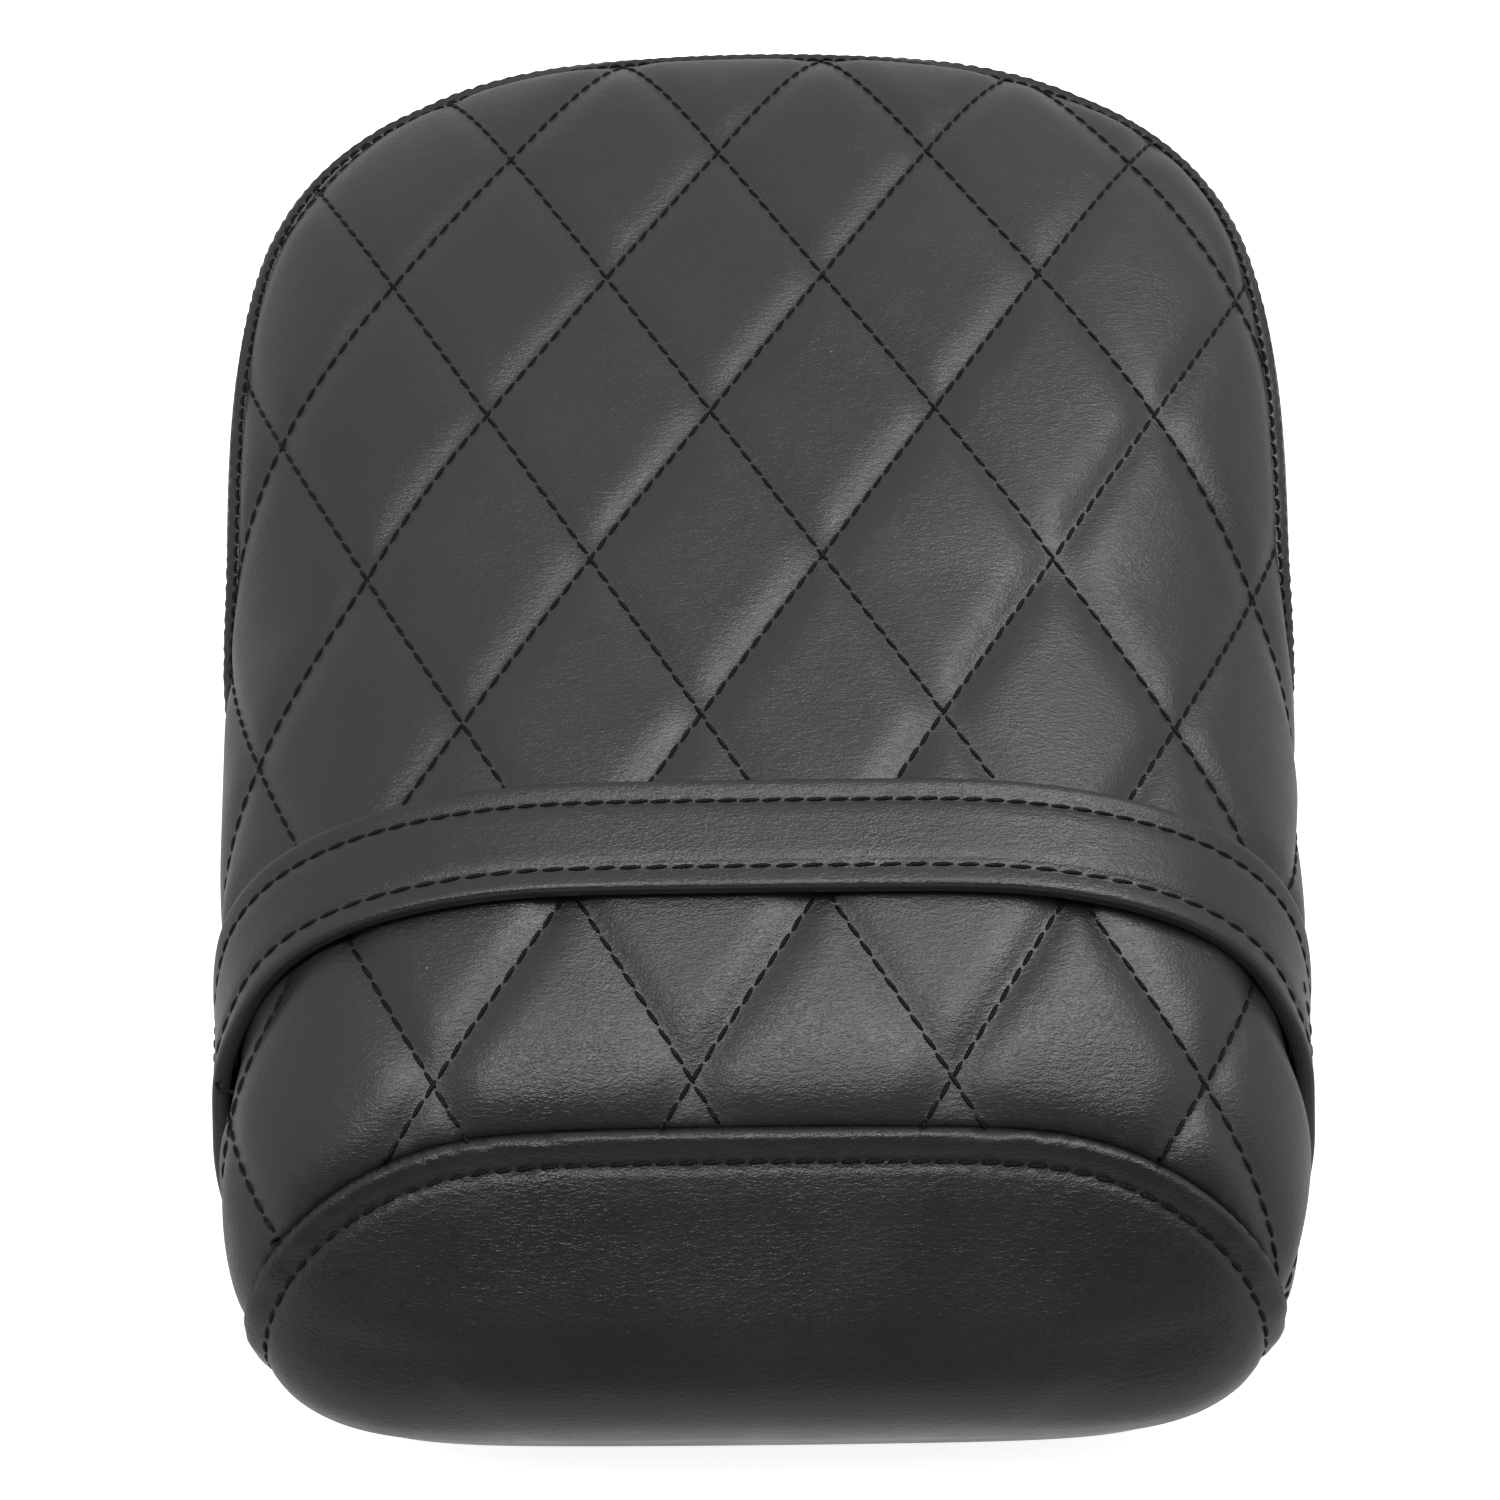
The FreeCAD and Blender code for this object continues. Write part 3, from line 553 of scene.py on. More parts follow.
def strap_sink(points):
    """How far the strap presses into the cushion's soft sides."""
    return STRAP_SINK * smooth_step((92 - points[:, 2]) / 22) * smooth_step((points[:, 2] - 20) / 14)


def strap_path():
    """Middle line and outward normals of the whole strap, from one tucked end to the other."""
    base = np.array([0, strap_line_y(BULGE_Z), BULGE_Z])
    up = unit(np.array([0, STRAP_LEAN, 1]))
    turn = np.radians(np.linspace(0, STRAP_END_ANGLE, 120))
    direction = np.sin(turn)[:, None] * np.array([1, 0, 0]) + np.cos(turn)[:, None] * up
    over = surface_hit(base, direction)
    over_normals = surface_normal(over)
    over = over + over_normals * (STRAP_GAP + STRAP_THICKNESS / 2 - strap_sink(over))[:, None]

    fall = np.linspace(0.03, 1, 40)
    drop = BULGE_Z - RIM_Z
    z = np.maximum(BULGE_Z - drop * fall, RIM_Z + 0.01)
    y = strap_line_y(BULGE_Z) - STRAP_LEAN * drop * (fall - fall ** 2 / 2)
    down = np.column_stack([side_x(y, z), y, z])
    anchor = down[-1]
    down_normals = unit(surface_normal(down) * np.array([1, 0, 1]))
    gap = STRAP_GAP + STRAP_SLACK * fall - strap_sink(down)
    down = down + down_normals * (gap + STRAP_THICKNESS / 2)[:, None]

    centre = anchor - np.array([STRAP_CORNER_INSET, 0, STRAP_CORNER_INSET])
    radius = float((down[-1] - centre) @ down_normals[-1])
    first = math.atan2(down_normals[-1, 2], down_normals[-1, 0])
    turn = np.linspace(first, -math.pi / 2, 14)[1:]
    under_normals = np.column_stack([np.cos(turn), np.zeros_like(turn), np.sin(turn)])
    under = centre + under_normals * radius
    tuck = under[-1] - np.linspace(0, STRAP_TUCK, 14)[1:, None] * np.array([1, 0, 0])
    tuck_normals = np.repeat(under_normals[-1:], len(tuck), axis=0)

    half = np.concatenate([over, down, under, tuck])
    half_normals = np.concatenate([over_normals, down_normals, under_normals, tuck_normals])
    path = np.concatenate([(half * np.array([-1, 1, 1]))[::-1], half[1:]])
    normals = np.concatenate([(half_normals * np.array([-1, 1, 1]))[::-1], half_normals[1:]])
    return path, normals


def smoothed(values, rounds):
    for _ in range(rounds):
        inner = (values[:-2] + 2 * values[1:-1] + values[2:]) / 4
        values = np.concatenate([values[:1], inner, values[-1:]])
    return values


def strap_frame():
    """Evenly spaced places along the strap with the directions along, across and out."""
    path, normals = strap_path()
    lengths = np.concatenate([[0], np.cumsum(np.linalg.norm(np.diff(path, axis=0), axis=1))])
    places = np.linspace(0, lengths[-1], int(lengths[-1] / STRAP_STEP) + 1)
    path = np.column_stack([np.interp(places, lengths, path[:, k]) for k in range(3)])
    normals = np.column_stack([np.interp(places, lengths, normals[:, k]) for k in range(3)])
    path = smoothed(path, 6)
    ahead = unit(np.gradient(path, axis=0))
    across = smoothed(unit(np.cross(unit(normals), ahead)), 10)
    across = unit(across - ahead * np.einsum("ij,ij->i", across, ahead)[:, None])
    return path, ahead, across, np.cross(ahead, across)


def strap_dent(points):
    """How far the cover is pressed in by the strap, fading out on both sides of it."""
    path, _, across, _ = STRAP_FRAME
    tree = KDTree(len(path))
    for i, point in enumerate(path):
        tree.insert(Vector(point), i)
    tree.balance()
    nearest = np.array([tree.find(Vector(point))[1] for point in points])
    aside = np.abs(np.einsum("ij,ij->i", points - path[nearest], across[nearest]))
    share = 1 - smooth_step((aside - STRAP_WIDTH / 2) / STRAP_DENT_REACH)
    return share * np.maximum(strap_sink(points) - STRAP_DENT_LESS, 0)


STRAP_FRAME = strap_frame()


# ---------------------------------------------------------------- the quilted top

class QuiltMap:
    """Carries flat quilting coordinates onto the cushion: b runs along the centre line and a
    runs out from it across the seat, down the side and on below the rim."""

    def __init__(self):
        turn = np.linspace(0, math.pi / 2, 1500)
        self.y = np.linspace(-146.0, 152.5, 400)
        profile = []
        for angle in (-math.pi / 2, math.pi / 2):
            power = float(edge_roundness(np.array(angle)))
            share = np.sin(turn) ** (2 / power)
            height = np.cos(turn) ** (2 / power)
            y = share * outline_radius(np.array(angle)) * math.sin(angle)
            z = BULGE_Z + (crown_z(y) - BULGE_Z) * height
            lengths = np.concatenate([[0], np.cumsum(np.hypot(np.diff(y), np.diff(z)))])
            profile.append((lengths, y))
        front, rear = profile
        self.along = np.concatenate([-front[0][::-1], rear[0][1:]])
        self.along_y = np.concatenate([front[1][::-1], rear[1][1:]])
        self.fractions = np.linspace(0, 1, 300)
        rows = [self.section(y) for y in self.y]
        self.length = np.array([row[0] for row in rows])
        self.table = np.array([row[1] for row in rows])

    def section(self, y):
        """Length from the centre to the rim across the seat at y, and evenly spaced x and z."""
        turn = np.linspace(math.pi / 2, 0, 160)
        direction = np.stack([np.cos(turn), np.zeros_like(turn), np.sin(turn)], axis=-1)
        upper = surface_hit(np.array([0, y, BULGE_Z]), direction)
        z = np.linspace(BULGE_Z, RIM_Z, 40)[1:]
        lower = np.column_stack([side_x(np.full_like(z, y), z), np.full_like(z, y), z])
        points = np.concatenate([upper, lower])[:, [0, 2]]
        lengths = np.concatenate([[0], np.cumsum(np.linalg.norm(np.diff(points, axis=0), axis=1))])
        places = self.fractions * lengths[-1]
        return lengths[-1], np.column_stack([np.interp(places, lengths, points[:, k]) for k in range(2)])

    def points(self, a, b):
        """Points on the cushion, carried on straight down below the rim."""
        y = np.interp(b, self.along, self.along_y)
        row = np.clip((y - self.y[0]) / (self.y[1] - self.y[0]), 0, len(self.y) - 1.001)
        i = row.astype(int)
        down = (row - i)[:, None]
        length = self.length[i] * (1 - down[:, 0]) + self.length[i + 1] * down[:, 0]
        column = np.clip(np.abs(a) / length, 0, 1) * (len(self.fractions) - 1.001)
        k = column.astype(int)
        over = (column - k)[:, None]
        here = self.table[i, k] * (1 - over) + self.table[i, k + 1] * over
        there = self.table[i + 1, k] * (1 - over) + self.table[i + 1, k + 1] * over
        place = here * (1 - down) + there * down
        below = np.maximum(np.abs(a) - length, 0)
        return np.column_stack([place[:, 0] * np.sign(a), y, place[:, 1] - below])


QUILT = QuiltMap()


def quilt_ab(params):
    """Flat coordinates in millimetres from the two lattice coordinates of the diamonds."""
    u = (params[:, 0] + params[:, 1]) / 2
    v = (params[:, 0] - params[:, 1]) / 2
    b = v * DIAMOND_HALF_LENGTH + QUILT_ALONG
    return u * DIAMOND_HALF_WIDTH + QUILT_ACROSS + QUILT_SKEW * b, b


def quilt_points(params):
    return QUILT.points(*quilt_ab(params))


def on_cushion(a, b):
    """Whether flat coordinates lie where the map carries them onto the cushion."""
    y = np.interp(b, QUILT.along, QUILT.along_y)
    between = (b > QUILT.along[0]) & (b < QUILT.along[-1]) & (np.abs(a) < QUILT_REACH_A)
    return between & (y > QUILT_FRONT_Y) & (y < QUILT_REAR_Y)


def stitch_line_puff(params):
    """0 on the stitch lines, rising to 1 in the middle of each diamond."""
    across = 1 / DIAMOND_HALF_WIDTH
    along = 1 / DIAMOND_HALF_LENGTH
    puff = 1.0
    for k, sign in ((0, 1), (1, -1)):
        gradient = math.hypot(across, sign * along - QUILT_SKEW * across)
        half = (params[:, k] - 1) / 2
        distance = np.abs(half - np.round(half)) * 2 / gradient
        puff = puff * (1 - (1 - np.clip(distance / PUFF_REACH, 0, 1)) ** PUFF_POWER)
    return puff


def rim_fade(points):
    """Keeps the padding's relief off the rim and hem."""
    return smooth_step((points[:, 2] - RIM_Z) / RELIEF_FADE)


def near_top(points):
    return smooth_step((points[:, 2] - 55) / 25)


def rear_shape(points):
    """The filling stands out a little behind the middle and less at the rear corners."""
    share = smooth_step((points[:, 1] - 95) / 45) * smooth_step((points[:, 2] - 30) / 30)
    return share * np.maximum(1.7 - 3.2 * (points[:, 0] / 75) ** 2, -1.5)


def quilt_grid(cells):
    """The part of the diamond lattice inside the two seams and the hem's edge."""
    low = (LATTICE_LOW + 1) * cells // 2
    high = (LATTICE_HIGH - 1) * cells // 2
    side = np.arange(low, high + 1) * 2 / cells + 1
    s, t = np.meshgrid(side, side, indexing="ij")
    params = np.column_stack([s.ravel(), t.ravel()])
    faces = grid_faces(len(side), len(side))
    a, b = quilt_ab(params)
    faces = faces[on_cushion(a, b)[faces].all(axis=1)]
    params, faces = clipped(params, faces, lambda p: RIM_Z - HEM_WIDTH - quilt_points(p)[:, 2])
    params, faces = clipped(params, faces, lambda p: -behind_front_seam(quilt_points(p)))
    params, faces = clipped(params, faces, lambda p: under_boxing_seam(quilt_points(p)))
    return compact(params, faces)


def quilt_offset(params, points):
    """How far the quilted cover stands out from the plain cushion shape."""
    puff = stitch_line_puff(params)
    to_front, _ = FRONT_SEAM.distance(points)
    to_boxing, _ = BOXING_LINE.distance(points)
    puff = puff * (1 - (1 - np.clip(to_front / 7, 0, 1)) ** 2)
    puff = puff * (1 - (1 - np.clip(to_boxing / 6, 0, 1)) ** 2)
    shoulder = SHOULDER_DROP * (1 - np.clip(to_front / SHOULDER_REACH, 0, 1)) ** 2 * near_top(points)
    relief = puff * PUFF_RISE - STITCH_DEPTH - shoulder + rear_shape(points)
    return relief * rim_fade(points) - strap_dent(points)


def quilted_top(material):
    params, faces = quilt_grid(QUILT_CELLS)
    flat = quilt_points(params)
    normals = cover_normals(flat)
    offset = quilt_offset(params, flat)
    points = folded(flat) + normals * offset[:, None]
    faces = facing_out(points, normals, faces)
    depths = np.where(flat[:, 2] < RIM_Z, HEM_EDGE_DEPTH, SEAM_EDGE_DEPTH)
    points, faces = with_turned_edges(points, normals, faces, depths)
    piece = mesh_piece("quilted_top_cover", points, corner_lists(faces), material)
    piece.modifiers.new("smooth", "SUBSURF").levels = 1
    apply_modifiers(piece)
    return finished(piece, "root", "quilted_leatherette", "top_cover")


def quilted_wadding(material):
    """The soft layer sewn under the quilted cover, a closed layer that follows its diamonds."""
    params, faces = quilt_grid(WADDING_CELLS)
    flat = quilt_points(params)
    keep = flat[:, 2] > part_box("quilt_wadding")[0].z * 1000
    keep &= behind_front_seam(flat) > WADDING_FROM_FRONT
    keep &= under_boxing_seam(flat) < -WADDING_FROM_BOXING
    faces = faces[keep[faces].all(axis=1)]
    params, faces = compact(params, faces)
    flat = quilt_points(params)
    normals = cover_normals(flat)
    offset = quilt_offset(params, flat)
    outer = flat + normals * (offset - WADDING_COVER - 0.5 * strap_dent(flat))[:, None]
    faces = facing_out(outer, normals, faces)
    inner = outer - normals * (WADDING_THICKNESS + stitch_line_puff(params) * WADDING_PUFF)[:, None]
    closed, closed_faces = with_turned_edges(outer, outer - inner, faces, np.ones(len(outer)))
    count = len(closed)
    points = np.concatenate([closed, inner])
    lining = faces[:, [0, 3, 2, 1]] + count
    faces = corner_lists(np.concatenate([closed_faces, lining]))
    piece = mesh_piece("quilted_wadding", points, faces, material)
    return finished(piece, "root", "wadding", "quilt_wadding")


# ---------------------------------------------------------------- front panel and side boxing

class RingMap:
    """Rings round the cushion from INNER_SHARE of its outline down to the rim and the hem."""

    def __init__(self, columns, upper_rows, lower_rows, hem_rows):
        dense = np.linspace(0, 2 * math.pi, 7201)
        x, y = plan_points(dense, 1.0)
        lengths = np.concatenate([[0], np.cumsum(np.hypot(np.diff(x), np.diff(y)))])
        places = np.arange(columns) / columns * lengths[-1]
        angles = np.interp(places, lengths, dense)
        power = edge_roundness(angles)
        widest = np.arccos(INNER_SHARE ** (power / 2))
        turn = widest * np.linspace(1, 0, 300)[:, None]
        share = np.cos(turn) ** (2 / power)
        height = np.sin(turn) ** (2 / power)
        x, y = plan_points(angles, share)
        z = BULGE_Z + (crown_z(y) - BULGE_Z) * height
        upper = self.even_rows(np.stack([x, y, z], axis=-1), upper_rows)
        z = np.linspace(BULGE_Z, RIM_Z, lower_rows + 1)[1:, None] * np.ones(columns)
        x, y = plan_points(angles, lower_share(z))
        lower = np.stack([x, y, z], axis=-1)
        hem = np.repeat(lower[-1:], len(hem_rows), axis=0)
        hem[..., 2] -= np.array(hem_rows)[:, None]
        self.rings = np.concatenate([upper, lower, hem])

    def even_rows(self, points, rows):
        steps = np.linalg.norm(np.diff(points, axis=0), axis=2)
        lengths = np.concatenate([np.zeros((1, steps.shape[1])), np.cumsum(steps, axis=0)])
        made = np.empty((rows + 1, points.shape[1], 3))
        for j in range(points.shape[1]):
            places = np.linspace(0, lengths[-1, j], rows + 1)
            for k in range(3):
                made[:, j, k] = np.interp(places, lengths[:, j], points[:, j, k])
        return made

    def grid(self):
        """Row and column numbers of every corner, and the faces. The last column is the first."""
        rows, columns, _ = self.rings.shape
        i, j = np.meshgrid(np.arange(rows), np.arange(columns + 1), indexing="ij")
        params = np.column_stack([i.ravel(), j.ravel()]).astype(float)
        return params, grid_faces(rows, columns + 1)

    def points(self, params):
        rows, columns, _ = self.rings.shape
        i = np.clip(params[:, 0].astype(int), 0, rows - 2)
        j = params[:, 1].astype(int)
        down = np.clip(params[:, 0] - i, 0, 1)[:, None]
        over = (params[:, 1] - j)[:, None]
        near = j % columns
        next_one = (j + 1) % columns
        here = self.rings[i, near] * (1 - over) + self.rings[i, next_one] * over
        below = self.rings[i + 1, near] * (1 - over) + self.rings[i + 1, next_one] * over
        return here * (1 - down) + below * down


RINGS = RingMap(RING_COLUMNS, UPPER_ROWS, LOWER_ROWS, HEM_ROWS)


def ring_panel(field):
    params, faces = RINGS.grid()
    params, faces = clipped(params, faces, lambda p: field(RINGS.points(p)))
    params, faces = compact(params, faces)
    return RINGS.points(params), faces


def front_offset(points):
    """The seam allowance folded under the panel's edge makes a roll, held down by a topstitch row."""
    distance, along = FRONT_SEAM.distance(points)
    roll = 1.0 * smooth_step(distance / 1.3) - 1.3 * (1 - smooth_step(distance / 0.9))
    hold = smooth_step((distance - 2.0) / 4.0)
    after = smooth_step((distance - TOPSTITCH_OFFSET) / 7.0)
    gather = 0.5 + 0.5 * np.cos(2 * math.pi * along / TOPSTITCH_PITCH)
    dip = (0.45 + 0.3 * gather) * np.exp(-((distance - TOPSTITCH_OFFSET) / 0.9) ** 2)
    pucker = 0.12 * np.sin(2 * math.pi * along / 9.3) * np.exp(-((distance - 3.4) / 2.2) ** 2)
    flat = PANEL_FLATTENING * np.sin(math.pi * np.clip(distance / PANEL_ARC, 0, 1))
    flat = flat * smooth_step((points[:, 2] - BULGE_Z) / BULGE_BLEND)
    shoulder = SHOULDER_DROP * (1 - smooth_step(distance / 48.0)) * near_top(points)
    low_front = smooth_step((-points[:, 1] - 118) / 14) * smooth_step((45 - points[:, 2]) / 18)
    relief = roll - 0.75 * hold + 0.35 * after - dip + pucker - flat - shoulder
    return (relief - LOW_FRONT_DRAW * low_front) * rim_fade(points) - strap_dent(points)


def boxing_offset(points):
    """The boxing's edge is gathered by its topstitching into a row of small humps."""
    distance, along = BOXING_LINE.distance(points)
    roll = 0.4 * smooth_step((distance - 0.5) / 1.0) - 1.6 * (1 - smooth_step(distance / 1.3))
    hump = np.abs(np.sin(math.pi * along / BOXING_PITCH)) * np.exp(-((distance - 2.1) / 1.1) ** 2)
    settle = smooth_step((distance - 2.4) / 2.4)
    return (roll + 0.4 * hump - 0.4 * settle + rear_shape(points)) * rim_fade(points)


def front_lip(points):
    """How far the cover's lower edge stands forward round the front of the pan."""
    hem = np.maximum(RIM_Z - points[:, 2], 0)
    in_front = smooth_step((-points[:, 1] - 116) / 14)
    low = smooth_step((42 - points[:, 2]) / 28) * (1 - 0.85 * hem / HEM_WIDTH)
    return FRONT_LIP * in_front * low


def sewn_panel(name, field, offset_of, material, slot, node):
    flat, faces = ring_panel(field)
    normals = cover_normals(flat)
    outward = unit(flat * np.array([1, 1, 0]))
    points = folded(flat) + normals * offset_of(flat)[:, None] + outward * front_lip(flat)[:, None]
    faces = facing_out(points, normals, faces)
    depths = np.where(flat[:, 2] < RIM_Z, HEM_EDGE_DEPTH, SEAM_EDGE_DEPTH)
    points, faces = with_turned_edges(points, normals, faces, depths)
    piece = mesh_piece(name, points, corner_lists(faces), material)
    return finished(piece, "root", slot, node)


# ---------------------------------------------------------------- foam and edging

def foam_cushion(material):
    """The moulded foam under the cover, drawn in further where the wadding lies over it."""
    columns = FOAM_COLUMNS
    flat = RingMap(columns, *FOAM_ROWS, ()).rings[:-1].reshape(-1, 3)
    crown = []
    for share in FOAM_CROWN_SHARES:
        start = np.column_stack([flat[:columns, :2] * share, np.full(columns, BULGE_Z)])
        crown.append(surface_hit(start, np.broadcast_to(np.array([0.0, 0, 1]), start.shape)))
    upper = np.concatenate(crown[::-1])
    points = np.concatenate([upper, flat])
    under_wadding = smooth_step(behind_front_seam(points) / 8) * smooth_step(-under_boxing_seam(points) / 8)
    under_panel = smooth_step(-behind_front_seam(points) / 12)
    inset = FOAM_COVER + FOAM_UNDER_WADDING * under_wadding + PANEL_FLATTENING * under_panel
    points = points - surface_normal(points) * inset[:, None]
    floor_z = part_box("base_pan")[1].z * 1000 - FOAM_BELOW_PAN_TOP
    points[:, 2] = np.maximum(points[:, 2], floor_z)
    rows = len(points) // columns
    index = np.arange(rows * columns).reshape(rows, columns)
    wrapped = np.concatenate([index, index[:, :1]], axis=1)
    faces = np.stack([wrapped[:-1, :-1], wrapped[1:, :-1], wrapped[1:, 1:], wrapped[:-1, 1:]], axis=-1)
    made = faces.reshape(-1, 4).tolist()
    top = len(points)
    points = np.concatenate([points, [[0, 0, crown_z(0) - FOAM_CROWN_COVER]], [[0, 0, floor_z]]])
    for j in range(columns):
        made.append([top, index[0, j], wrapped[0, j + 1]])
        made.append([top + 1, wrapped[-1, j + 1], index[-1, j]])
    piece = mesh_piece("foam_cushion", points, made, material)
    return finished(piece, "root", "foam", "foam_core")


def tube_mesh(path, radius, sides):
    """Rings of a closed tube round a closed path."""
    ahead = unit(np.roll(path, -1, axis=0) - np.roll(path, 1, axis=0))
    side = unit(np.cross(ahead, np.array([0, 0, 1.0])))
    up = np.cross(side, ahead)
    turn = np.arange(sides) / sides * 2 * math.pi
    rings = path[:, None] + radius * (
        side[:, None] * np.cos(turn)[:, None] + up[:, None] * np.sin(turn)[:, None]
    )
    index = np.arange(len(path) * sides).reshape(len(path), sides)
    below = np.roll(index, -1, axis=0)
    faces = np.stack([index, np.roll(index, -1, axis=1), np.roll(below, -1, axis=1), below], axis=-1)
    return rings.reshape(-1, 3), faces.reshape(-1, 4)


def rim_braid(material):
    """Two cords twisted round each other along the cover's lower edge."""
    low, high = (corner.z * 1000 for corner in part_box("rim_trim"))
    angles = np.linspace(0, 2 * math.pi, 3601)[:-1]
    x, y = plan_points(angles, RIM_SHARE)
    shrink = 1 - BRAID_INSET / (HALF_WIDTH * RIM_SHARE)
    centre = np.column_stack([x * shrink, y * shrink, np.full_like(x, (low + high) / 2)])
    line = even(np.concatenate([centre, centre[:1]]), BRAID_STEP)[:-1]
    count = len(line)
    turns = round(count * BRAID_STEP / BRAID_PITCH)
    outward = unit(line * np.array([1, 1, 0]))
    lip = front_lip(line)[:, None]
    line = line + outward * BRAID_LIP_SHARE * lip - np.array([0, 0, BRAID_LIP_DROP]) * lip
    points = []
    faces = []
    for k in range(2):
        phase = np.arange(count) / count * 2 * math.pi * turns + math.pi * k
        path = line + outward * (BRAID_SWING * np.cos(phase))[:, None]
        path[:, 2] += BRAID_RISE * np.sin(phase)
        strand, strand_faces = tube_mesh(path, BRAID_CORD_RADIUS, BRAID_CORD_SIDES)
        faces.append(strand_faces + len(points) * len(strand))
        points.append(strand)
    faces = corner_lists(np.concatenate(faces))
    piece = mesh_piece("rim_braid", np.concatenate(points), faces, material)
    return finished(piece, "root", "braid", "rim_trim")


# ---------------------------------------------------------------- stitching

def stitch_shapes(places, tangents, normals, length, radius, seed):
    """One thread dash per place: a fat capsule that dives into its holes at both ends."""
    random = np.random.default_rng(seed)
    shares = np.array([-1.0, -0.82, -0.4, 0.0, 0.4, 0.82, 1.0])
    widths = np.array([0.35, 0.85, 1.0, 1.0, 1.0, 0.85, 0.35])
    drops = np.array([1.0, 0.55, 0.08, 0.0, 0.08, 0.55, 1.0]) * radius * 1.6
    turn = np.arange(THREAD_SIDES) / THREAD_SIDES * 2 * math.pi
    side = np.cross(normals, tangents)
    slant = random.uniform(0.04, 0.1, len(places))
    points = []
    for share, width, drop in zip(shares, widths, drops):
        centre = places + tangents * (share * length / 2) - normals * drop
        centre = centre + side * (share * slant * length / 2)[:, None]
        ring = side[:, None] * np.cos(turn)[:, None] + normals[:, None] * np.sin(turn)[:, None]
        points.append(centre[:, None] + ring * radius * width)
    points = np.stack(points, axis=1)
    count = len(shares)
    index = np.arange(count * THREAD_SIDES).reshape(count, THREAD_SIDES)
    faces = np.stack([index[:-1], index[1:], np.roll(index[1:], -1, 1), np.roll(index[:-1], -1, 1)], -1)
    faces = faces.reshape(-1, 4).tolist() + [index[0].tolist(), index[-1][::-1].tolist()]
    made = []
    for i in range(len(places)):
        start = i * count * THREAD_SIDES
        made += [[start + corner for corner in face] for face in faces]
    return points.reshape(-1, 3), made


def surface_tree(pieces):
    """The finished covers as one tree that rays can be sent at, in metres."""
    points = []
    faces = []
    for piece in pieces:
        start = len(points)
        points += [vertex.co for vertex in piece.data.vertices]
        faces += [[start + corner for corner in face.vertices] for face in piece.data.polygons]
    return BVHTree.FromPolygons(points, faces)


def laid_on(tree, line, normals, reach):
    """Moves a line of points along its normals onto the finished surface."""
    starts = placed(line + normals * reach)
    made = line.copy()
    for i, (start, normal) in enumerate(zip(starts, normals)):
        hit = tree.ray_cast(Vector(start), -Vector(normal), 2 * reach / 1000)
        if hit[0] is not None:
            made[i] = np.array(hit[0]) * 1000 - np.array([0, SHIFT_Y, 0])
    return made


def dashes(line, normals, pitch, length, radius, seed):
    """Stitches along a line, which is in order and closely spaced."""
    lengths = np.concatenate([[0], np.cumsum(np.linalg.norm(np.diff(line, axis=0), axis=1))])
    count = int(lengths[-1] / pitch)
    if count < 1:
        return np.zeros((0, 3)), []
    middles = (np.arange(count) + 0.5) * pitch
    at = [np.interp(middles + shift, lengths, line[:, k]) for shift in (-1, 0, 1) for k in range(3)]
    before, here, after = (np.column_stack(at[k: k + 3]) for k in (0, 3, 6))
    tangents = unit(after - before)
    up = np.column_stack([np.interp(middles, lengths, normals[:, k]) for k in range(3)])
    up = unit(up - tangents * np.einsum("ij,ij->i", up, tangents)[:, None])
    return stitch_shapes(here + up * radius * 0.35, tangents, up, length, radius, seed)


def thread_piece(name, rows, material):
    """One mesh of all the stitches of several rows."""
    points = []
    faces = []
    for row_points, row_faces in rows:
        start = sum(len(p) for p in points)
        points.append(row_points)
        faces += [[start + corner for corner in face] for face in row_faces]
    return mesh_piece(name, np.concatenate(points), faces, material)


def quilting_lines():
    """Each stitch line on the plain surface, cut off at the seams and just above the rim."""
    lines = []
    run = np.arange(LATTICE_LOW, LATTICE_HIGH, LATTICE_STEP)
    for k in (0, 1):
        for odd in range(LATTICE_LOW + 2, LATTICE_HIGH, 2):
            params = np.empty((len(run), 2))
            params[:, k] = odd
            params[:, 1 - k] = run
            params = params[on_cushion(*quilt_ab(params))]
            if len(params) < 10:
                continue
            points = quilt_points(params)
            inside = (points[:, 2] > RIM_Z + 2) & (behind_front_seam(points) > 0)
            inside &= under_boxing_seam(points) < 0
            marks = np.flatnonzero(np.diff(np.concatenate([[0], inside.astype(int), [0]])))
            for start, end in zip(marks[::2], marks[1::2]):
                if end - start > SHORTEST_RUN:
                    lines.append(points[start:end])
    return lines


def quilting_thread(tree, material):
    rows = []
    for seed, line in enumerate(quilting_lines()):
        line = even(line, 0.7)
        normals = surface_normal(line)
        line = laid_on(tree, line, normals, 4)
        rows.append(dashes(line, normals, QUILT_STITCH_PITCH, QUILT_STITCH_LENGTH, THREAD_RADIUS, seed))
    piece = thread_piece("quilting_thread", rows, material)
    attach(piece, "root")
    return piece


def seam_thread(name, line, tree, pitch, length, seed, material):
    above = line[line[:, 2] > RIM_Z + 2]
    normals = surface_normal(above)
    laid = smoothed(laid_on(tree, above, normals, 9), 3)
    piece = thread_piece(name, [dashes(laid, normals, pitch, length, THREAD_RADIUS, seed)], material)
    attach(piece, "root")
    return piece


# ---------------------------------------------------------------- grab strap

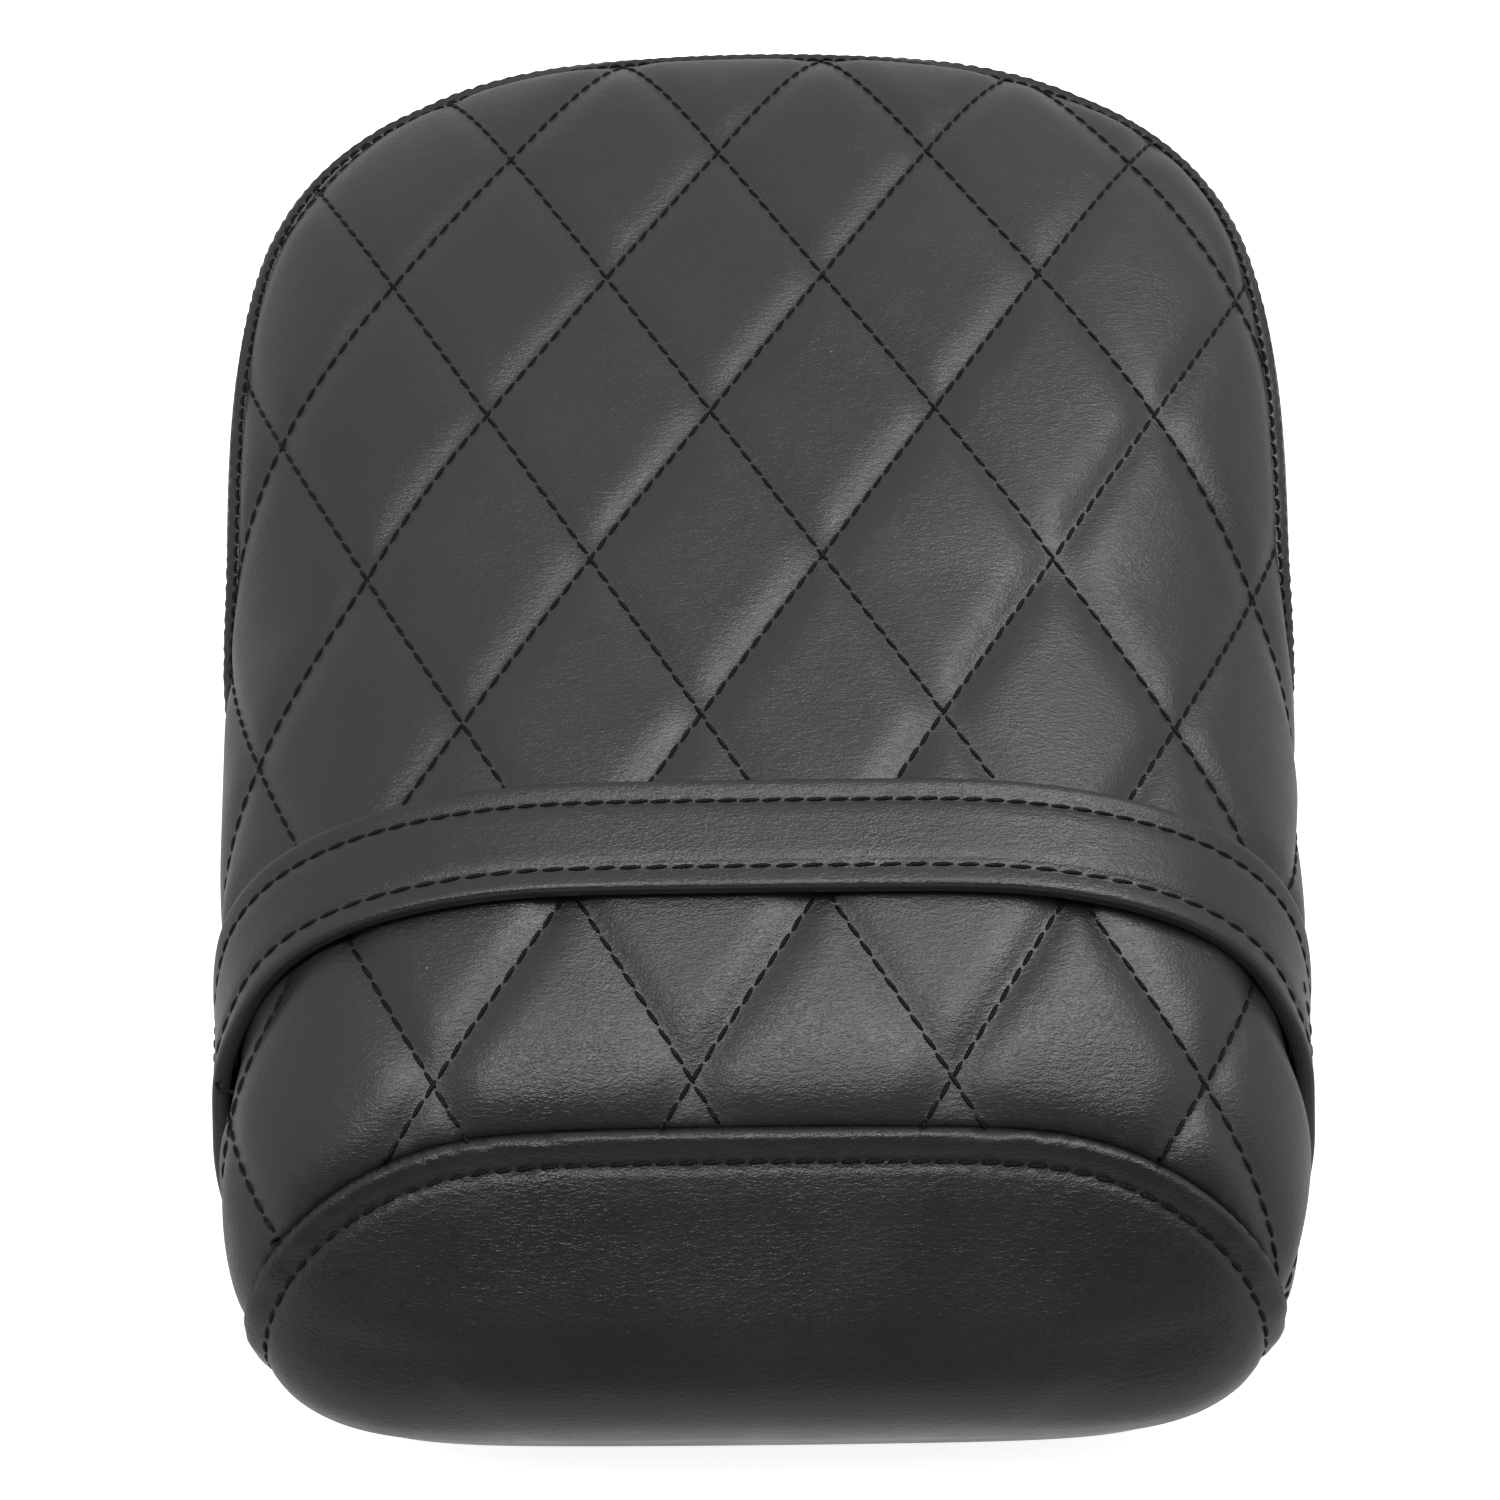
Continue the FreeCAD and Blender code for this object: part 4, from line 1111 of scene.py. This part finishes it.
def swept(name, section, stations, material):
    """A closed band: one outline, (across, out), carried along part of the strap's path."""
    path, _, across, out = (part[stations] for part in STRAP_FRAME)
    rings = path[:, None] + across[:, None] * section[:, 0, None] + out[:, None] * section[:, 1, None]
    count = len(section)
    index = np.arange(len(path) * count).reshape(len(path), count)
    around = np.roll(index, -1, axis=1)
    faces = np.stack([index[:-1], around[:-1], around[1:], index[1:]], axis=-1).reshape(-1, 4).tolist()
    faces += [index[0][::-1].tolist(), index[-1].tolist()]
    return mesh_piece(name, rings.reshape(-1, 3), faces, material)


def strap_core(material):
    """The woven webbing that carries the load inside the strap's leather sleeve."""
    wide = WEBBING_HALF_WIDTH
    thick = WEBBING_HALF_THICKNESS
    edge = wide + WEBBING_EDGE
    section = [(wide, thick), (edge, 0), (wide, -thick), (-wide, -thick), (-edge, 0), (-wide, thick)]
    shown = np.flatnonzero(STRAP_FRAME[0][:, 2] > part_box("strap_webbing")[0].z * 1000)
    piece = swept("strap_core_webbing", np.array(section), slice(shown[0], shown[-1] + 1), material)
    return blended_strap(piece, "strap_webbing")


def strap_section():
    """Half of the strap's cross-section outline, (across, out): a flat sleeve with folded hems."""
    half = STRAP_WIDTH / 2
    row = half - STRAP_ROW
    across = np.array([0, 3, 5, row - 1, row, row + 1, half - 2.4, half - 1.5])
    out = np.array([0.1, 0.1, 0.08, -0.06, -0.42, -0.1, -0.02, 0.12])
    top = np.column_stack([across, STRAP_THICKNESS / 2 - 0.15 + out])
    turn = np.linspace(math.pi / 2, -math.pi / 2, 11)[1:-1]
    bend = np.sign(np.sin(turn)) * np.abs(np.sin(turn)) ** 0.75
    bulge = half - 1.2 + 1.2 * np.abs(np.cos(turn)) ** 0.75
    edge = np.column_stack([bulge, (STRAP_THICKNESS / 2 - 0.05) * bend])
    under = np.column_stack([across[::-1], -(STRAP_THICKNESS / 2 - 0.15 + 0.6 * out[::-1])])
    return np.concatenate([top, edge, under])


def grab_strap(material):
    half = strap_section()
    left = (half * np.array([-1, 1]))[::-1]
    piece = swept("grab_strap", np.concatenate([half, left[1:-1]]), slice(None), material)
    return blended_strap(piece, "strap_band", "strap_end_left", "strap_end_right")


def blended_strap(piece, *nodes):
    """Bakes the piece's placement into its mesh and hides the CAD parts that it stands in for."""
    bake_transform(piece)
    if nodes:
        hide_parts(*nodes)
    return piece


def strap_thread(material):
    """Two rows of stitches along the strap, one inside each hem."""
    path, _, across, out = STRAP_FRAME
    rows = []
    shown = path[:, 2] > RIM_Z - 1
    for sign, (pitch, length) in ((-1, STRAP_FRONT_STITCH), (1, STRAP_REAR_STITCH)):
        line = path + across * sign * (STRAP_WIDTH / 2 - STRAP_ROW) + out * (STRAP_THICKNESS / 2 - 0.5)
        rows.append(dashes(line[shown], out[shown], pitch, length, THREAD_RADIUS, 7 + sign))
    piece = thread_piece("strap_thread", rows, material)
    return blended_strap(piece)


# ---------------------------------------------------------------- materials

class Nodes:
    """Short calls for building one material's nodes."""

    def __init__(self, name):
        self.material = bpy.data.materials.new(name)
        self.material.use_nodes = True
        self.tree = self.material.node_tree
        self.shader = self.tree.nodes["Principled BSDF"]
        self.place = self.add("ShaderNodeTexCoord").outputs["Object"]

    def add(self, kind, **settings):
        node = self.tree.nodes.new(kind)
        for key, value in settings.items():
            if key in node.inputs:
                self.put(node.inputs[key], value)
            else:
                setattr(node, key, value)
        return node

    def put(self, socket, value):
        if isinstance(value, bpy.types.NodeSocket):
            self.tree.links.new(value, socket)
        else:
            socket.default_value = value

    def scaled(self, vector, scale):
        return self.add("ShaderNodeMapping", Vector=vector, Scale=scale).outputs["Vector"]

    def noise(self, vector, scale, detail=2.0, distortion=0.0):
        settings = {"Vector": vector, "Scale": scale, "Detail": detail, "Distortion": distortion}
        return self.add("ShaderNodeTexNoise", **settings).outputs["Fac"]

    def plies(self, scale, distortion):
        settings = {"Vector": self.place, "Scale": scale, "Distortion": distortion}
        return self.add("ShaderNodeTexWave", bands_direction="DIAGONAL", **settings).outputs["Fac"]

    def math(self, operation, a, b=0.0):
        node = self.add("ShaderNodeMath", operation=operation)
        self.put(node.inputs[0], a)
        self.put(node.inputs[1], b)
        return node.outputs[0]

    def span(self, value, from_low, from_high, to_low, to_high):
        node = self.add("ShaderNodeMapRange", Value=value)
        limits = {"From Min": from_low, "From Max": from_high, "To Min": to_low, "To Max": to_high}
        for key, number in limits.items():
            node.inputs[key].default_value = number
        return node.outputs["Result"]

    def mix(self, factor, a, b):
        node = self.add("ShaderNodeMix", data_type="RGBA")
        self.put(node.inputs["Factor"], factor)
        self.put(node.inputs["A"], a)
        self.put(node.inputs["B"], b)
        return node.outputs["Result"]

    def bump(self, height, distance, strength=1.0, normal=None):
        node = self.add("ShaderNodeBump", Height=height, Distance=distance, Strength=strength)
        if normal is not None:
            self.put(node.inputs["Normal"], normal)
        return node.outputs["Normal"]

    def surface(self, **values):
        for key, value in values.items():
            self.put(self.shader.inputs[key.replace("_", " ")], value)
        return self.material


def grey(value):
    return (value, value, value, 1.0)


def leather(name, shade, gloss, shine=0.5):
    """Black leatherette: pebbled grain, fine cross wrinkles, uneven gloss, and a little dust."""
    n = Nodes(name)
    wander = n.add("ShaderNodeTexNoise", Vector=n.place, Scale=260.0, Detail=2.0).outputs["Color"]
    bent = n.add("ShaderNodeVectorMath", operation="MULTIPLY_ADD")
    n.put(bent.inputs[0], wander)
    bent.inputs[1].default_value = (0.0012, 0.0012, 0.0012)
    n.put(bent.inputs[2], n.place)
    bent = bent.outputs["Vector"]

    stretched = n.scaled(bent, (0.62, 1.0, 1.0))
    pebbles = n.add("ShaderNodeTexVoronoi", feature="DISTANCE_TO_EDGE", Vector=stretched)
    pebbles.inputs["Scale"].default_value = 1700.0
    pebble = n.span(pebbles.outputs["Distance"], 0.0, 0.22, 0.0, 1.0)
    wrinkle = n.noise(n.scaled(bent, (0.4, 1.0, 1.0)), 1500.0, 2.0, 0.4)
    wrinkle = n.span(wrinkle, 0.35, 0.65, 0.0, 1.0)
    slow = n.noise(n.place, 38.0, 3.0)
    strength = n.span(slow, 0.3, 0.7, 0.55, 1.0)
    height = n.math("ADD", n.math("MULTIPLY", pebble, 0.5), n.math("MULTIPLY", wrinkle, 0.8))
    height = n.math("MULTIPLY", height, strength)
    normal = n.bump(height, 0.00005)
    soft = n.noise(n.place, 120.0, 2.0)
    normal = n.bump(soft, 0.0005, 0.2, normal)

    rough = n.span(n.noise(n.place, 55.0, 4.0, 0.3), 0.25, 0.75, gloss - 0.05, gloss + 0.06)
    rough = n.math("ADD", rough, n.math("MULTIPLY", wrinkle, -0.05))
    patches = n.span(n.noise(n.place, 16.0, 3.0), 0.3, 0.7, 0.0, 1.0)
    colour = n.mix(patches, grey(shade * 0.88), (shade * 1.12, shade * 1.1, shade * 1.1, 1.0))
    worn = n.span(n.noise(n.place, 420.0, 4.0), 0.62, 0.8, 0.0, 0.25)
    colour = n.mix(worn, colour, grey(shade * 1.9))
    specks = n.add("ShaderNodeTexVoronoi", feature="F1", Vector=n.place, Scale=120.0)
    spot = n.math("LESS_THAN", specks.outputs["Distance"], 0.018)
    lot = n.add("ShaderNodeSeparateColor", Color=specks.outputs["Color"]).outputs[0]
    rare = n.math("GREATER_THAN", lot, 0.86)
    dust = n.math("MULTIPLY", spot, rare)
    colour = n.mix(dust, colour, grey(0.22))
    return n.surface(Base_Color=colour, Roughness=rough, Normal=normal, Specular_IOR_Level=shine)


def thread_material():
    """Bonded black thread: fine twisted plies with a dull shine."""
    n = Nodes("black_thread")
    plies = n.plies(900.0, 1.0)
    colour = n.mix(plies, grey(0.0012), grey(0.004))
    rough = n.span(n.noise(n.place, 1500.0), 0.3, 0.7, 0.5, 0.65)
    normal = n.bump(plies, 0.00008)
    return n.surface(Base_Color=colour, Roughness=rough, Normal=normal, Specular_IOR_Level=0.2)


def braid_material():
    n = Nodes("black_braid")
    fuzz = n.noise(n.place, 3000.0, 4.0)
    height = n.math("ADD", n.plies(700.0, 2.0), n.math("MULTIPLY", fuzz, 0.5))
    colour = n.mix(fuzz, grey(0.004), grey(0.014))
    rough = n.span(fuzz, 0.3, 0.7, 0.5, 0.75)
    return n.surface(Base_Color=colour, Roughness=rough, Normal=n.bump(height, 0.0001))


def webbing_material():
    """Flat woven nylon."""
    n = Nodes("black_webbing")
    across = n.add("ShaderNodeTexWave", Vector=n.place, Scale=420.0, bands_direction="X").outputs["Fac"]
    along = n.add("ShaderNodeTexWave", Vector=n.place, Scale=420.0, bands_direction="Y").outputs["Fac"]
    weave = n.math("MULTIPLY", across, along)
    colour = n.mix(weave, grey(0.006), grey(0.02))
    rough = n.span(n.noise(n.place, 900.0), 0.3, 0.7, 0.6, 0.8)
    return n.surface(Base_Color=colour, Roughness=rough, Normal=n.bump(weave, 0.0003))


def foam_material(name, low, high, cell):
    """Open-celled foam or fleece, with fine pores."""
    n = Nodes(name)
    pores = n.add("ShaderNodeTexVoronoi", Vector=n.place, Scale=1.0 / cell).outputs["Distance"]
    pores = n.span(pores, 0.15, 0.6, 0.0, 1.0)
    patches = n.noise(n.place, 30.0, 3.0)
    colour = n.mix(n.math("MULTIPLY", pores, patches), low, high)
    rough = n.span(n.noise(n.place, 200.0), 0.3, 0.7, 0.85, 1.0)
    return n.surface(Base_Color=colour, Roughness=rough, Normal=n.bump(pores, cell * 0.4))


def pan_material():
    """Moulded black polypropylene with a fine spark-eroded texture and faint flow marks."""
    n = Nodes("moulded_plastic")
    texture = n.noise(n.place, 1600.0, 4.0)
    flow = n.noise(n.scaled(n.place, (1.0, 0.3, 1.0)), 40.0, 3.0, 1.5)
    colour = n.mix(flow, grey(0.011), grey(0.022))
    scuffs = n.span(n.noise(n.scaled(n.place, (1.0, 6.0, 1.0)), 110.0, 5.0), 0.66, 0.8, 0.0, 0.5)
    colour = n.mix(scuffs, colour, grey(0.06))
    rough = n.span(texture, 0.3, 0.7, 0.42, 0.6)
    return n.surface(Base_Color=colour, Roughness=rough, Normal=n.bump(texture, 0.0001, 0.7))


def powder_coat_material():
    """Black powder coat on steel: orange peel, with worn and chipped spots."""
    n = Nodes("powder_coated_steel")
    peel = n.noise(n.place, 700.0, 2.0)
    chips = n.span(n.noise(n.place, 260.0, 5.0, 0.4), 0.71, 0.74, 0.0, 1.0)
    colour = n.mix(n.noise(n.place, 45.0, 3.0), grey(0.008), grey(0.018))
    colour = n.mix(chips, colour, grey(0.22))
    rough = n.span(n.noise(n.place, 90.0, 3.0), 0.3, 0.7, 0.28, 0.42)
    height = n.math("SUBTRACT", peel, n.math("MULTIPLY", chips, 0.8))
    normal = n.bump(height, 0.00012, 0.6)
    return n.surface(Base_Color=colour, Roughness=rough, Metallic=chips, Normal=normal)


def plated_material(name, colour_low, colour_high, rough_low, rough_high):
    """Zinc or brass with turning marks and cloudy patches."""
    n = Nodes(name)
    cloud = n.noise(n.place, 210.0, 4.0, 0.5)
    marks = n.noise(n.scaled(n.place, (1.0, 1.0, 9.0)), 1300.0, 2.0)
    colour = n.mix(cloud, colour_low, colour_high)
    rough = n.span(cloud, 0.3, 0.7, rough_low, rough_high)
    return n.surface(Base_Color=colour, Roughness=rough, Metallic=1.0, Normal=n.bump(marks, 0.00005, 0.6))


def rubber_material():
    n = Nodes("black_rubber")
    bloom = n.noise(n.place, 70.0, 4.0)
    skin = n.noise(n.place, 2200.0, 3.0)
    colour = n.mix(bloom, grey(0.008), grey(0.026))
    rough = n.span(bloom, 0.3, 0.7, 0.62, 0.85)
    return n.surface(Base_Color=colour, Roughness=rough, Normal=n.bump(skin, 0.0001, 0.6))


def dress_hardware():
    """Better finishes for the CAD pieces that show as they are."""
    zinc = plated_material("zinc_plate", grey(0.42), (0.55, 0.55, 0.58, 1), 0.28, 0.45)
    brass = plated_material("insert_brass", (0.5, 0.33, 0.1, 1), (0.62, 0.42, 0.16, 1), 0.3, 0.5)
    steel = powder_coat_material()
    rubber = rubber_material()
    finishes = {
        "base_pan": pan_material(),
        "front_tongue": steel,
        "rear_bracket": steel,
        "bracket_screws": zinc,
        "bracket_washers": zinc,
        "strap_plate_left": zinc,
        "strap_plate_right": zinc,
        "strap_screws": zinc,
        "staples": zinc,
        "bracket_inserts": brass,
        "strap_inserts": brass,
        "bumper_front_left": rubber,
        "bumper_front_right": rubber,
        "bumper_rear_left": rubber,
        "bumper_rear_right": rubber,
    }
    for name, material in finishes.items():
        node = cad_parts[name]
        node.data.materials.clear()
        node.data.materials.append(material)


# ---------------------------------------------------------------- studio

def add_camera():
    data = bpy.data.cameras.new("camera")
    data.lens = CAMERA_LENS
    data.clip_start = CAMERA_CLIP_START
    camera = bpy.data.objects.new("camera", data)
    bpy.context.scene.collection.objects.link(camera)
    yaw, rise = math.radians(CAMERA_YAW), math.radians(CAMERA_ELEVATION)
    back = Vector((math.sin(yaw) * math.cos(rise), -math.cos(yaw) * math.cos(rise), math.sin(rise)))
    camera.location = Vector(CAMERA_TARGET) + back * CAMERA_DISTANCE
    level = (-back).to_track_quat("-Z", "Y").to_matrix()
    camera.rotation_euler = (level @ Matrix.Rotation(math.radians(CAMERA_ROLL), 3, "Z")).to_euler()
    bpy.context.scene.camera = camera


def softbox(name, direction, size, power):
    """An area light that points at the seat from a direction."""
    data = bpy.data.lights.new(name, "AREA")
    data.shape = "RECTANGLE"
    data.size, data.size_y = size
    data.energy = power
    light = bpy.data.objects.new(name, data)
    bpy.context.scene.collection.objects.link(light)
    aim = Vector(direction).normalized()
    light.location = aim * LIGHT_DISTANCE + Vector((0, 0, LIGHT_AIM_Z))
    light.rotation_euler = (-aim).to_track_quat("-Z", "Y").to_euler()


def add_world():
    """Even white studio light, dark low down in front where the camera stands."""
    world = bpy.data.worlds.new("studio")
    bpy.context.scene.world = world
    world.use_nodes = True
    tree = world.node_tree
    place = tree.nodes.new("ShaderNodeTexCoord")
    facing = tree.nodes.new("ShaderNodeVectorMath")
    facing.operation = "DOT_PRODUCT"
    facing.inputs[1].default_value = Vector((0, -1, 1.15)).normalized()
    tree.links.new(place.outputs["Generated"], facing.inputs[0])
    ramp = tree.nodes.new("ShaderNodeValToRGB")
    tree.links.new(facing.outputs["Value"], ramp.inputs[0])
    ramp.color_ramp.elements[0].position = 0.6
    ramp.color_ramp.elements[0].color = grey(0.74)
    ramp.color_ramp.elements[1].position = 0.85
    ramp.color_ramp.elements[1].color = grey(0.08)
    tree.links.new(ramp.outputs["Color"], tree.nodes["Background"].inputs["Color"])


def add_floor():
    n = Nodes("pale_floor")
    shade = n.span(n.noise(n.place, 4.0), 0.3, 0.7, 0.86, 0.9)
    material = n.surface(
        Base_Color=n.mix(shade, grey(0.0), grey(1.0)), Roughness=0.9,
        Emission_Color=grey(1.0), Emission_Strength=0.8,
    )
    mesh = bpy.data.meshes.new("floor")
    reach = FLOOR_REACH
    corners = [(-reach, -reach, 0), (reach, -reach, 0), (reach, reach, 0), (-reach, reach, 0)]
    mesh.from_pydata(corners, [], [(0, 1, 2, 3)])
    mesh.materials.append(material)
    floor = bpy.data.objects.new("floor", mesh)
    bpy.context.scene.collection.objects.link(floor)
    floor.visible_glossy = False


def add_studio():
    add_camera()
    add_world()
    add_floor()
    softbox("overhead_softbox", (0.03, -0.06, 1.0), (2.0, 0.34), 32.0)
    softbox("right_softbox", (0.42, 0.27, 0.87), (0.6, 0.7), 13.0)
    bpy.context.scene.view_settings.view_transform = "Standard"


# ---------------------------------------------------------------- the seat

def build_seat():
    quilted = leather("quilted_leather", 0.019, 0.38)
    # Painted shade: the front panel and side boxing use the same leatherette as the quilted top, with a
    # darker base colour (0.015 against 0.019) standing in for the shade they lie in, and less shine.
    smooth = leather("smooth_leather_shaded_darker", 0.015, 0.36, 0.45)
    strap = leather("strap_leather", 0.018, 0.38)
    thread = thread_material()
    covers = [
        quilted_top(quilted),
        sewn_panel("front_cover_panel", behind_front_seam, front_offset, smooth,
                   "smooth_leatherette", "front_panel"),
        sewn_panel("side_boxing_panel", lambda p: -under_boxing_seam(p), boxing_offset, smooth,
                   "smooth_leatherette", "side_boxing"),
    ]
    tree = surface_tree(covers)
    quilting_thread(tree, thread)
    seam_thread("front_seam_thread", FRONT_SEAM.beside(-TOPSTITCH_OFFSET), tree,
                TOPSTITCH_PITCH, TOPSTITCH_LENGTH, 101, thread)
    seam_thread("boxing_thread", BOXING_LINE.beside(BOXING_STITCH_OFFSET), tree,
                BOXING_PITCH, BOXING_STITCH_LENGTH, 102, thread)
    quilted_wadding(foam_material("white_wadding", grey(0.5), grey(0.72), 0.0006))
    foam_cushion(foam_material("yellow_foam", (0.45, 0.4, 0.26, 1), (0.68, 0.62, 0.42, 1), 0.0009))
    rim_braid(braid_material())
    grab_strap(strap)
    strap_core(webbing_material())
    strap_thread(thread)
    dress_hardware()


build_seat()
add_studio()
